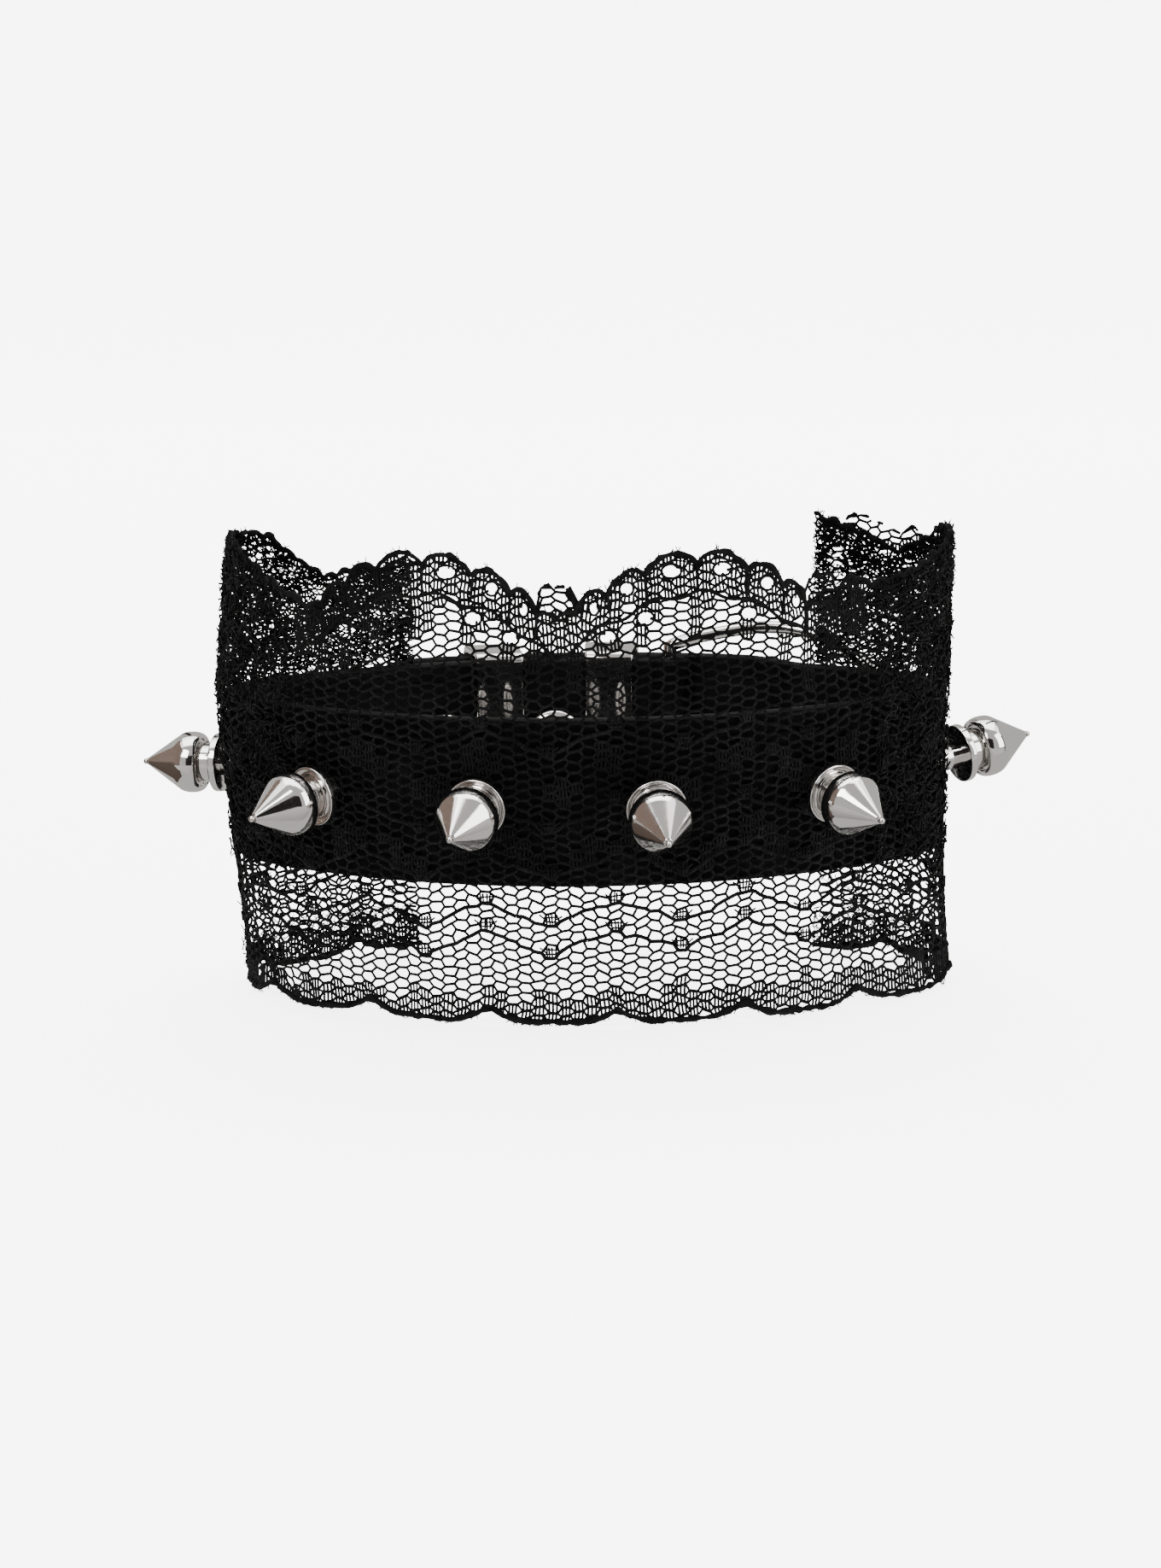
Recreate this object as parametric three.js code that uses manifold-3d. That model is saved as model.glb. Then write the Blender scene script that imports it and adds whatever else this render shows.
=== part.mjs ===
// Lace cuff: a buckled leather wrist strap under a band of galloon lace, with six screwed cone spikes.
// Millimetres, +Z up. The cuff stands on its lower lace edge, with its front towards -Y.
import * as THREE from 'three';
import { mergeVertices } from 'three/addons/utils/BufferGeometryUtils.js';
import Module from 'manifold-3d';

const wasm = await Module();
wasm.setup();

// Plan of the strap's outer face: a wide front arc, two tight side arcs and a wide back arc
const halfWidth = 40.3;
const frontDepth = 22;
const backDepth = 20;
const sideRadius = 9.8;

// Leather strap
const strapHeight = 19;
const strapWall = 2.2;
const strapBottom = 15.5;
const gap = 0.3; // between neighbouring pieces
const overlap = 39; // of the tongue past the buckle bar
const tipLength = 9; // of the tongue's rounded end
const station = 3.4; // length of one facet along the strap

// Lace over the strap
const laceWall = 1;
const laceAbove = 18.6; // from the strap's top edge to the highest fans
const scallop = 14.4; // pitch of the lower scallops; a group of fans spans two
const scallopDepth = 1.6;
const notchShare = 2 / 9; // share of a scallop from the front centre to a lower notch, and to one of the fans
const fanDrop = 7; // from the middle of a group of fans to the notch beside it
const fanHeight = 1;
const bareLeft = 20.2; // strap left bare from the back centre to the lace's left cut end
const bareRight = 27.6;
const laceFacets = 9; // facets in one scallop
const landFacets = 3; // facets of each scallop that lie on the ground

// Gaps cut through the net and the fans; a gap of the net spans two facets of every three
const meshTall = 3.2;
const meshPoint = 0.5; // how much taller a gap of the net is at its middle
const meshSpan = 3;
const borderHeight = 4.6;
const netAbove = 1.3; // from the strap's top edge to the upper row of gaps
const eyeletTall = 1.7;
const eyeletRim = 0.9; // from a fan's eyelet up to the dip beside it

// Spikes, each held by a screw from inside
const spikePitch = 20.5;
const spikeRadius = 3.45;
const flangeRadius = 3.35;
const neckRadius = 2.25;
const neckLength = 1.9;
const coneLength = 6.4;
const screwRadius = 1.5;
const screwHeadRadius = 3.4;
const screwHeadWall = 0.9;
const threadDepth = 3;
const round = 12; // sides of a turned piece

// Buckle, keepers and rivets at the back
const wireRadius = 0.75;
const barPast = 10.3; // from the back centre to the buckle bar
const frameLength = 27;
const frameHeight = 26.2; // across the wire's middle where the frame is tallest
const prongRadius = 0.6;
const keeperWidth = 6;
const keeperWall = 0.8;
const rivetRadius = 3.2;
const rivetShank = 1.3;
const holeRadius = 1.5;
const holePitch = 10;
const prongSlotLength = 7.5;

// How far the strap and the lace lean out from the plan, by place round the front: crown is the lace's
// top, top and foot are the strap's edges and hem is the lace's bottom; at is a share of half the girth
const leans = [
  { at: -1.1, crown: -0.4, top: 0, foot: 0, hem: 0.2 },
  { at: -0.78, crown: -0.8, top: 0.1, foot: -0.1, hem: -0.8 },
  { at: -0.52, crown: -1, top: 0.7, foot: -0.7, hem: -2 },
  { at: -0.28, crown: -0.3, top: 0.7, foot: -0.7, hem: -1.4 },
  { at: 0, crown: 0.2, top: 0.8, foot: -0.8, hem: -0.8 },
  { at: 0.3, crown: 0.1, top: 0.6, foot: -0.6, hem: -0.2 },
  { at: 0.52, crown: 0.6, top: 0.1, foot: -0.1, hem: 0.8 },
  { at: 0.78, crown: 0.2, top: 0, foot: 0, hem: -0.4 },
  { at: 1.1, crown: 0, top: 0, foot: 0, hem: 0 },
];

// The spikes: place in pitches from the front centre, and turn and droop in degrees off the strap
const spikes = [
  { at: -2.54, turn: 3, droop: -3 },
  { at: -1.52, turn: -4, droop: 4 },
  { at: -0.57, turn: -3, droop: 8 },
  { at: 0.36, turn: 0, droop: 9 },
  { at: 1.39, turn: -5, droop: 4 },
  { at: 2.46, turn: 9, droop: -10 },
];

// Half of the buckle frame's outline: along from the bar, up from the middle, as shares of its sizes
const frameOutline = [
  { along: 0, up: 0.84 },
  { along: 0.16, up: 0.93 },
  { along: 0.44, up: 1 },
  { along: 0.72, up: 0.88 },
  { along: 0.92, up: 0.54 },
  { along: 1, up: 0 },
];

// The fans of half a group, between a dip and the next, as shares of a scallop from the group's middle
const fans = [
  { from: 0, to: 1 / 3 },
  { from: 1 / 3, to: 2 / 3 },
  { from: 2 / 3, to: 8 / 9 },
];
const notchArch = { from: 8 / 9, to: 10 / 9 };

const black = (colour, roughness) =>
  new THREE.MeshStandardMaterial({ color: colour, roughness, metalness: 0 });
const leather = black(0x121212, 0.55);
const thread = black(0x0a0a0a, 0.9);
const nickel = new THREE.MeshStandardMaterial({ color: 0xc9c6c2, roughness: 0.2, metalness: 1 });

// Plan curve: arcs that meet with a common tangent
const sideOut = halfWidth - sideRadius;
const endRadius = (depth) => (sideOut ** 2 + depth ** 2 - sideRadius ** 2) / (2 * (depth - sideRadius));
const frontRadius = endRadius(frontDepth);
const backRadius = endRadius(backDepth);
const frontOff = frontRadius - frontDepth;
const frontTurn = Math.atan2(sideOut, frontOff);
const backTurn = Math.atan2(sideOut, backRadius - backDepth);
const frontArc = frontRadius * frontTurn;
const sideArc = sideRadius * (Math.PI - frontTurn - backTurn);
const halfGirth = frontArc + sideArc + backRadius * backTurn;
const laceLeft = halfGirth - bareLeft;
const laceRight = halfGirth - bareRight;
const scallopPhase = notchShare * scallop;
const fanPhase = -notchShare * scallop;
const strapTop = strapBottom + strapHeight;
const strapMiddle = strapBottom + strapHeight / 2;

// Heading at a place along the girth, and the point there, out by some distance and up to some height
function planAt(along) {
  const s = THREE.MathUtils.euclideanModulo(along + halfGirth, 2 * halfGirth) - halfGirth;
  const [side, run] = [Math.sign(s) || 1, Math.abs(s)];
  if (run < frontArc) return { side, angle: run / frontRadius, x: 0, y: frontOff, radius: frontRadius };
  if (run < frontArc + sideArc) {
    return { side, angle: frontTurn + (run - frontArc) / sideRadius, x: sideOut, y: 0, radius: sideRadius };
  }
  const angle = Math.PI - backTurn + (run - frontArc - sideArc) / backRadius;
  return { side, angle, x: 0, y: backDepth - backRadius, radius: backRadius };
}

function normalAt(along) {
  const { side, angle } = planAt(along);
  return new THREE.Vector3(side * Math.sin(angle), -Math.cos(angle), 0);
}

function pointAt(along, out, height) {
  const { side, angle, x, y, radius } = planAt(along);
  const reach = radius + out;
  return new THREE.Vector3(side * (x + reach * Math.sin(angle)), y - reach * Math.cos(angle), height);
}

// Value of one column of the leans at a place, eased between rows
function leanAt(along, column) {
  const share = THREE.MathUtils.euclideanModulo(along / halfGirth + 1, 2) - 1;
  const next = Math.max(1, leans.findIndex((row) => row.at > share));
  const [a, b] = [leans[next - 1], leans[next]];
  return THREE.MathUtils.lerp(a[column], b[column], THREE.MathUtils.smoothstep(share, a.at, b.at));
}

const slopeAt = (along) => Math.atan((leanAt(along, 'top') - leanAt(along, 'foot')) / strapHeight);

// Closed solid through a row of equal rings of points; an open row gets an end cap at both ends
function sweep(rings, closed) {
  const [count, size] = [rings.length, rings[0].length];
  const index = [];
  const quad = (a, b, c, d) => index.push(a, b, c, a, c, d);
  for (let i = 0; i < (closed ? count : count - 1); i += 1) {
    const [here, there] = [i * size, ((i + 1) % count) * size];
    for (let j = 0; j < size; j += 1) {
      const k = (j + 1) % size;
      quad(here + j, here + k, there + k, there + j);
    }
  }
  const last = (count - 1) * size;
  for (let j = 0; !closed && j < size / 2 - 1; j += 1) {
    quad(j, size - 1 - j, size - 2 - j, j + 1);
    quad(last + j, last + j + 1, last + size - 2 - j, last + size - 1 - j);
  }
  const geometry = new THREE.BufferGeometry().setFromPoints(rings.flat());
  geometry.setIndex(index);
  return geometry;
}

function signedVolume(points, index) {
  const corner = (i) => new THREE.Vector3().fromArray(points, index[i] * 3);
  let volume = 0;
  for (let i = 0; i < index.length; i += 3) volume += corner(i).dot(corner(i + 1).cross(corner(i + 2))) / 6;
  return volume;
}

// Solid for joining and cutting, from a closed geometry of either winding
function solid(geometry) {
  const bare = geometry.clone();
  bare.deleteAttribute('normal');
  bare.deleteAttribute('uv');
  const merged = mergeVertices(bare, 1e-4);
  const points = merged.attributes.position.array;
  const index = merged.index.array;
  const outward = signedVolume(points, index) > 0;
  const triangles = Uint32Array.from(index, (_, i) => index[outward ? i : i - (i % 3) + 2 - (i % 3)]);
  return new wasm.Manifold(new wasm.Mesh({ numProp: 3, vertProperties: points, triVerts: triangles }));
}

function asGeometry(manifold) {
  const mesh = manifold.getMesh();
  const geometry = new THREE.BufferGeometry();
  geometry.setAttribute('position', new THREE.BufferAttribute(mesh.vertProperties, 3));
  geometry.setIndex(new THREE.BufferAttribute(mesh.triVerts, 1));
  return geometry;
}

const cuff = new THREE.Group();

function add(name, manifold, material) {
  const geometry = asGeometry(manifold);
  geometry.computeVertexNormals();
  const mesh = new THREE.Mesh(geometry, material);
  mesh.name = name;
  cuff.add(mesh);
}

// Frame of a piece at a place on the strap's outer face: Y runs out of the face, Z runs up it
function seatAt(along, turn = 0, droop = 0) {
  const lean = (leanAt(along, 'top') + leanAt(along, 'foot')) / 2;
  const outward = normalAt(along);
  const heading = new THREE.Quaternion().setFromUnitVectors(new THREE.Vector3(0, 1, 0), outward);
  const across = new THREE.Vector3(outward.y, -outward.x, 0);
  const tip = slopeAt(along) + THREE.MathUtils.degToRad(droop);
  heading.premultiply(new THREE.Quaternion().setFromAxisAngle(across, -tip));
  heading.premultiply(
    new THREE.Quaternion().setFromAxisAngle(new THREE.Vector3(0, 0, 1), THREE.MathUtils.degToRad(turn)),
  );
  return new THREE.Matrix4().compose(pointAt(along, lean, strapMiddle), heading, new THREE.Vector3(1, 1, 1));
}

// Turned solid about Y from a profile of radius and height
function turned(profile, sides, matrix) {
  const points = profile.map(([radius, height]) => new THREE.Vector2(radius, height));
  return solid(new THREE.LatheGeometry(points, sides).applyMatrix4(matrix));
}

function bore(radius, low, high, matrix) {
  const cylinder = new THREE.CylinderGeometry(radius, radius, high - low, round);
  return solid(cylinder.translate(0, (low + high) / 2, 0).applyMatrix4(matrix));
}

// Strap from its end at the bar, round the front, through the frame and on as the tongue
const barAt = -(halfGirth + barPast);
const rollRadius = wireRadius + gap + strapWall / 2;
const onLace = gap + laceWall + gap; // what lies on the lace starts here
const tongueLift = Math.max(rollRadius + gap - strapWall / 2, onLace) + strapWall; // over the roll and the lace
const tongueTip = 2 * halfGirth + barAt + overlap;
const crossing = 2 * halfGirth + barAt - 0.46 * frameLength; // where the tongue rises past the prong
const crossingRun = 0.37 * frameLength;

const tongueRise = (along) =>
  tongueLift * THREE.MathUtils.smoothstep(along, crossing - crossingRun / 2, crossing + crossingRun / 2);

function strapRing(along, short = 1) {
  const rise = tongueRise(along);
  const half = (strapHeight / 2) * short;
  const corner = (share, wall) => {
    const lean = THREE.MathUtils.lerp(leanAt(along, 'foot'), leanAt(along, 'top'), share);
    return pointAt(along, rise + lean - wall, strapMiddle + half * (2 * share - 1));
  };
  return [corner(0, strapWall), corner(1, strapWall), corner(1, 0), corner(0, 0)];
}

function makeStrap(cuts) {
  const rings = [];
  const tipStart = tongueTip - tipLength;
  const steps = Math.round((tipStart - barAt) / station);
  for (let i = 0; i <= steps; i += 1) rings.push(strapRing(barAt + ((tipStart - barAt) * i) / steps));
  const tipSteps = 5;
  for (let i = 1; i <= tipSteps; i += 1) {
    const angle = (0.96 * (Math.PI / 2) * i) / tipSteps;
    rings.push(strapRing(tipStart + tipLength * Math.sin(angle), Math.cos(angle)));
  }
  const upright = (radius) => {
    const roll = new THREE.CylinderGeometry(radius, radius, strapHeight, round).rotateX(Math.PI / 2);
    const { x, y } = pointAt(barAt, -strapWall / 2, 0);
    return solid(roll.translate(x, y, strapMiddle));
  };
  const inner = new THREE.CylinderGeometry(wireRadius + gap, wireRadius + gap, 2 * strapHeight, round);
  const { x, y } = pointAt(barAt, -strapWall / 2, 0);
  const barHole = solid(inner.rotateX(Math.PI / 2).translate(x, y, strapMiddle));
  let strap = solid(sweep(rings, false)).add(upright(rollRadius)).subtract(barHole);
  for (const cut of cuts) strap = strap.subtract(cut);
  return strap;
}

// Slot or hole through a wall, centred at a place: wide along the strap, tall up it
function slotAt(along, out, wide, tall, deep) {
  const box = new THREE.BoxGeometry(wide, deep, tall);
  const heading = new THREE.Quaternion().setFromUnitVectors(new THREE.Vector3(0, 1, 0), normalAt(along));
  const place = pointAt(along, out, strapMiddle);
  return solid(box.applyMatrix4(new THREE.Matrix4().compose(place, heading, new THREE.Vector3(1, 1, 1))));
}

// Where a place stands in the groups of fans: its share of a scallop from the middle of its group
const fanShare = (along) =>
  Math.abs(THREE.MathUtils.euclideanModulo(along - fanPhase, 2 * scallop) - scallop) / scallop;

const fanAt = (share) => [...fans, notchArch].find(({ to }) => share <= to + 1e-6);

// Height of the dips between the fans, and of the lace's top and bottom edges
const dipHeight = (along) => strapTop + laceAbove - fanHeight - fanDrop * fanShare(along) ** 2;

function laceTop(along) {
  const share = fanShare(along);
  const { from, to } = fanAt(share);
  const across = (share - from) / (to - from);
  return dipHeight(along) + 4 * fanHeight * across * (1 - across);
}

function laceBottom(along) {
  const across = THREE.MathUtils.euclideanModulo((along - scallopPhase) / scallop, 1);
  const land = landFacets / laceFacets / 2;
  return scallopDepth * (Math.max(0, Math.abs(across - 0.5) - land) / (0.5 - land)) ** 2;
}

// Rows of the lace from the hem up: each line's height, its lean, and what is open between it and the next
const meshRow = (low, shift) => [
  { height: (_, peak) => low - peak * meshPoint, lean: 'hem', open: 'mesh', shift },
  { height: (_, peak) => low + meshTall + peak * meshPoint, lean: 'hem' },
];
const netRoom = (strapBottom - borderHeight - 2 * meshTall) / 3;
const laceLines = [
  { height: laceBottom, lean: 'hem' },
  ...meshRow(borderHeight + netRoom / 2, 0),
  ...meshRow(borderHeight + (3 * netRoom) / 2 + meshTall, 1),
  { height: () => strapBottom, lean: 'foot' },
  { height: () => strapTop, lean: 'top' },
  ...meshRow(strapTop + netAbove, 2),
  { height: (along) => dipHeight(along) - eyeletRim - eyeletTall, lean: 'crown', open: 'eyelet' },
  { height: (along) => dipHeight(along) - eyeletRim, lean: 'crown' },
  { height: laceTop, lean: 'crown' },
];

// Lean at a height: between the strap and the lace's edges it grows from the strap's own lean
function laceLean(along, height) {
  const [edge, column, from] = height > strapTop
    ? [laceTop(along), 'crown', 'top']
    : [laceBottom(along), 'hem', 'foot'];
  const seat = height > strapTop ? strapTop : strapBottom;
  if (height >= strapBottom && height <= strapTop) {
    return THREE.MathUtils.mapLinear(height, strapBottom, strapTop, leanAt(along, 'foot'), leanAt(along, 'top'));
  }
  return THREE.MathUtils.mapLinear(height, seat, edge, leanAt(along, from), leanAt(along, column));
}

// Wall on a grid of facets, pierced where a facet is open; points holds the two faces' grids
function piercedWall(columns, lines, pointOf, isOpen) {
  const index = [];
  const quad = (a, b, c, d) => index.push(a, b, c, a, c, d);
  const at = (face, i, j) => (face * columns + i) * lines + j;
  const solidAt = (i, j) => i >= 0 && j >= 0 && i < columns - 1 && j < lines - 1 && !isOpen(i, j);
  for (let i = 0; i < columns - 1; i += 1) {
    for (let j = 0; j < lines - 1; j += 1) {
      if (!solidAt(i, j)) continue;
      quad(at(1, i, j), at(1, i + 1, j), at(1, i + 1, j + 1), at(1, i, j + 1));
      quad(at(0, i, j), at(0, i, j + 1), at(0, i + 1, j + 1), at(0, i + 1, j));
      if (!solidAt(i, j - 1)) quad(at(0, i, j), at(0, i + 1, j), at(1, i + 1, j), at(1, i, j));
      if (!solidAt(i, j + 1)) quad(at(0, i, j + 1), at(1, i, j + 1), at(1, i + 1, j + 1), at(0, i + 1, j + 1));
      if (!solidAt(i - 1, j)) quad(at(0, i, j), at(1, i, j), at(1, i, j + 1), at(0, i, j + 1));
      if (!solidAt(i + 1, j)) quad(at(0, i + 1, j), at(0, i + 1, j + 1), at(1, i + 1, j + 1), at(1, i + 1, j));
    }
  }
  const points = [0, 1].flatMap((face) =>
    Array.from({ length: columns * lines }, (_, k) => pointOf(face, Math.floor(k / lines), k % lines)));
  return new THREE.BufferGeometry().setFromPoints(points).setIndex(index);
}

function makeLace(cuts) {
  const facet = scallop / laceFacets;
  const first = Math.ceil((-laceLeft - scallopPhase) / facet + 0.5);
  const last = Math.floor((laceRight - scallopPhase) / facet - 0.5);
  const numbers = Array.from({ length: last - first + 1 }, (_, i) => first + i);
  const places = [-laceLeft, ...numbers.map((n) => scallopPhase + n * facet), laceRight];
  const phase = (i, shift) => THREE.MathUtils.euclideanModulo(first + i - 1 + shift, meshSpan);

  const isOpen = (i, j) => {
    const { open, shift } = laceLines[j];
    if (!open || i < 2 || i > places.length - 4) return false;
    if (open === 'mesh') return phase(i, shift) > 0;
    const { from, to } = fanAt(fanShare((places[i] + places[i + 1]) / 2));
    const middle = (from + to) / 2;
    const [a, b] = [fanShare(places[i]), fanShare(places[i + 1])].sort((x, y) => x - y);
    return a < middle - 1e-6 && b > middle - 1e-6 && to < 1;
  };
  const pointOf = (face, i, j) => {
    const { height, shift = laceLines[Math.max(0, j - 1)].shift } = laceLines[j];
    const peak = shift !== undefined && phase(i, shift) === 2 ? 0.5 : 0;
    const up = height(places[i], peak);
    return pointAt(places[i], gap + face * laceWall + laceLean(places[i], up), up);
  };
  let lace = solid(piercedWall(places.length, laceLines.length, pointOf, isOpen));
  for (const cut of cuts) lace = lace.subtract(cut);
  return lace;
}

// Spike: flange with a raised rim, neck, rounded shoulder and cone, drilled for its screw
const headStart = 0.7 + neckLength;
const coneStart = headStart + 1.2;
const spikeLength = coneStart + coneLength;
const spikeProfile = [
  [0, gap + threadDepth],
  [screwRadius + gap, gap + threadDepth],
  [screwRadius + gap, 0],
  [flangeRadius, 0],
  [flangeRadius, 0.8],
  [flangeRadius - 0.5, 0.7],
  [neckRadius, 0.5],
  [neckRadius, headStart],
  [spikeRadius - 0.4, headStart + 0.25],
  [spikeRadius, headStart + 0.7],
  [spikeRadius - 0.05, coneStart],
  [0.3, spikeLength - 0.15],
  [0, spikeLength],
];

// Everything the spikes need, worked out in the frame of each one
const tilt = ({ turn, droop }) => THREE.MathUtils.degToRad(Math.hypot(turn, droop));
const spikeCuts = [];
spikes.forEach((spike, i) => {
  const seat = seatAt(spike.at * spikePitch, spike.turn, spike.droop);
  const rock = Math.sin(tilt(spike));
  const base = onLace + rock * flangeRadius;
  const bend = Math.min(...[-1, 0, 1].map((k) => planAt(spike.at * spikePitch + k * screwHeadRadius).radius));
  const sag = bend - strapWall - Math.sqrt((bend - strapWall) ** 2 - screwHeadRadius ** 2);
  const inside = -(strapWall / Math.cos(tilt(spike)) + gap + rock * screwHeadRadius + sag);
  spikeCuts.push(bore(screwRadius + gap, -4 * strapWall, 3 * strapWall, seat));
  const profile = spikeProfile.map(([radius, height]) => [radius, base + height]);
  add(`spike_${i + 1}`, turned(profile, round, seat), nickel);
  const screw = turned(
    [
      [0, inside - screwHeadWall],
      [screwHeadRadius - 0.5, inside - screwHeadWall],
      [screwHeadRadius, inside - screwHeadWall / 2],
      [screwHeadRadius, inside],
      [screwRadius, inside],
      [screwRadius, base + threadDepth],
      [0, base + threadDepth],
    ],
    round,
    seat,
  );
  const slot = new THREE.BoxGeometry(0.8, 0.8, 3 * screwHeadRadius);
  add(`screw_${i + 1}`, screw.subtract(solid(slot.translate(0, inside - screwHeadWall, 0).applyMatrix4(seat))), nickel);
});

// Rivets through the buckle end, each with a domed cap inside and a flat one under the tongue
const flatCapRadius = 0.7 * rivetRadius;
const stride = rivetRadius + 2 * gap + keeperWidth / 2; // from a rivet to the keeper beside it
const lastRivet = bareLeft - 2 * gap - flatCapRadius; // left of the back centre, clear of the lace
const rivetPlaces = [lastRivet - 2 * stride, lastRivet].map((past) => past - halfGirth);
const keeperPlaces = [lastRivet - 3 * stride, lastRivet - stride].map((past) => past + halfGirth);
const rivetCuts = rivetPlaces.map((along) => bore(rivetShank + gap, -2 * strapWall, 2 * strapWall, seatAt(along)));
rivetPlaces.forEach((along, i) => {
  const inside = -(strapWall + gap);
  const profile = [
    [0, inside - 1.1],
    [0.5 * rivetRadius, inside - 1],
    [0.85 * rivetRadius, inside - 0.6],
    [rivetRadius, inside],
    [rivetShank, inside],
    [rivetShank, gap],
    [flatCapRadius, gap],
    [flatCapRadius, gap + 0.5],
    [0, gap + 0.5],
  ];
  add(`rivet_${i + 1}`, turned(profile, round, seatAt(along)), nickel);
});

// Ring of points round a wire's centre, in the plane across its heading
function wireRing(centre, heading, radius, sides) {
  const side = new THREE.Vector3(0, 0, 1).cross(heading);
  if (side.length() < 0.1) side.set(1, 0, 0);
  side.normalize();
  const up = heading.clone().cross(side).normalize();
  return Array.from({ length: sides }, (_, i) => {
    const angle = (2 * Math.PI * i) / sides;
    return centre.clone().addScaledVector(side, radius * Math.cos(angle)).addScaledVector(up, radius * Math.sin(angle));
  });
}

// Closed wire through points that lie in one upright surface: its rings turn in that surface
function closedWire(points, outwards, radius) {
  const sides = 8;
  const rings = points.map((centre, i) => {
    const before = points[(i + points.length - 1) % points.length];
    const heading = points[(i + 1) % points.length].clone().sub(before).normalize();
    const across = heading.clone().cross(outwards[i]).normalize();
    return Array.from({ length: sides }, (_, j) => {
      const angle = (2 * Math.PI * j) / sides;
      return centre.clone()
        .addScaledVector(across, radius * Math.cos(angle))
        .addScaledVector(outwards[i], radius * Math.sin(angle));
    });
  });
  return solid(sweep(rings, true));
}

const barPlace = 2 * halfGirth + barAt;
const barOut = -strapWall / 2;
const frameOut = onLace + wireRadius; // of the frame where it lies over the lace
const frameTop = frameHeight / 2;

function makeFrame() {
  const upper = new THREE.SplineCurve(frameOutline.map(({ along, up }) => new THREE.Vector2(along, up)));
  const half = upper.getPoints(11).map(({ x, y }) => [x, y]);
  const bar = [0.5, 0, -0.5].map((share) => [0, share * frameOutline[0].up * 1.2]);
  const lower = half.slice(0, -1).reverse().map(([x, y]) => [x, -y]);
  const outline = [...half, ...lower, ...bar.reverse()];
  const places = outline.map(([along, up]) => ({
    place: barPlace - along * frameLength,
    out: THREE.MathUtils.lerp(barOut, frameOut, THREE.MathUtils.smoothstep(along, 0, 0.6)),
    height: strapMiddle + up * frameTop,
  }));
  const points = places.map(({ place, out, height }) => pointAt(place, out, height));
  return closedWire(points, places.map(({ place }) => normalAt(place)), wireRadius);
}

// Prong from a loop on the bar, through a hole in the tongue, to rest on the frame's far end
const prongEnd = frameOut + wireRadius + gap + prongRadius;
function makeProng() {
  const steps = 10;
  const loopReach = wireRadius + gap + 2 * prongRadius;
  const rings = Array.from({ length: steps + 1 }, (_, i) => {
    const run = i / steps;
    const place = barPlace - (loopReach - prongRadius) - run * (frameLength - loopReach + wireRadius + prongRadius);
    const out = THREE.MathUtils.lerp(barOut, prongEnd, run * (1.3 - 0.3 * run));
    return wireRing(pointAt(place, out, strapMiddle), normalAt(place).cross(new THREE.Vector3(0, 0, 1)), prongRadius, 8);
  });
  const loop = [
    [wireRadius + gap, -prongRadius],
    [loopReach, -prongRadius],
    [loopReach, prongRadius],
    [wireRadius + gap, prongRadius],
    [wireRadius + gap, -prongRadius],
  ];
  const upright = new THREE.Matrix4().makeRotationX(Math.PI / 2).setPosition(pointAt(barPlace, barOut, strapMiddle));
  return turned(loop, round, upright).add(solid(sweep(rings, false)));
}

const prongSlot = slotAt(barAt, barOut, 5 * rollRadius, 2 * (prongRadius + gap), 5 * rollRadius);
const tongueHoles = [0, 1, 2, 3].map((i) => {
  const along = crossing + i * holePitch;
  if (i > 0) return slotAt(along, tongueRise(along) - strapWall / 2, 2 * holeRadius, 2 * holeRadius, 2 * strapWall);
  return slotAt(along, tongueRise(along) - strapWall / 2, prongSlotLength, 2 * (prongRadius + gap), 4 * strapWall);
});

// Keeper: a flat metal loop round the strap and the tongue
function makeKeeper(along) {
  const reach = gap + keeperWall;
  const [low, high] = [strapBottom - reach, strapTop + reach];
  const [inner, outer] = [-strapWall - reach, tongueLift + reach];
  const bevel = gap;
  const loop = [
    [inner, low + bevel], [inner, high - bevel], [inner + bevel, high], [outer - bevel, high],
    [outer, high - bevel], [outer, low + bevel], [outer - bevel, low], [inner + bevel, low],
  ];
  const middle = [(inner + outer) / 2, (low + high) / 2];
  const shrink = (value, centre) => value - Math.sign(value - centre) * keeperWall;
  const rings = loop.map(([out, height]) => {
    const [in2, up2] = [shrink(out, middle[0]), shrink(height, middle[1])];
    const corners = [[out, height, -1], [out, height, 1], [in2, up2, 1], [in2, up2, -1]];
    return corners.map(([o, h, side]) => pointAt(along + (side * keeperWidth) / 2, o, h));
  });
  return solid(sweep(rings, true));
}

add('strap', makeStrap([...spikeCuts, ...rivetCuts, prongSlot, ...tongueHoles]), leather);
add('lace', makeLace(spikeCuts), thread);
add('buckle_frame', makeFrame(), nickel);
add('buckle_prong', makeProng(), nickel);
keeperPlaces.forEach((along, i) => add(`keeper_${i + 1}`, makeKeeper(along), nickel));

// Origin under the middle of the whole, on the ground
const extent = new THREE.Box3().setFromObject(cuff);
const centre = extent.getCenter(new THREE.Vector3());
cuff.position.set(-centre.x, -centre.y, -extent.min.z);
cuff.updateMatrixWorld(true);

export default cuff;
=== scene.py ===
"""Lace cuff with six cone spikes: a buckled leather wrist strap under a band of black galloon lace.

Everything is worked out in millimetres round the wrist's own plan and written to the meshes in metres.
A place on the cuff is given by three numbers: along the girth from the front centre (positive to the
right, seen from the front), out from the strap's outer face, and height above the ground.
"""

from types import SimpleNamespace

import bpy
import numpy as np
from bpy.props import FloatProperty, FloatVectorProperty, PointerProperty
from mathutils import Matrix, Vector


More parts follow.
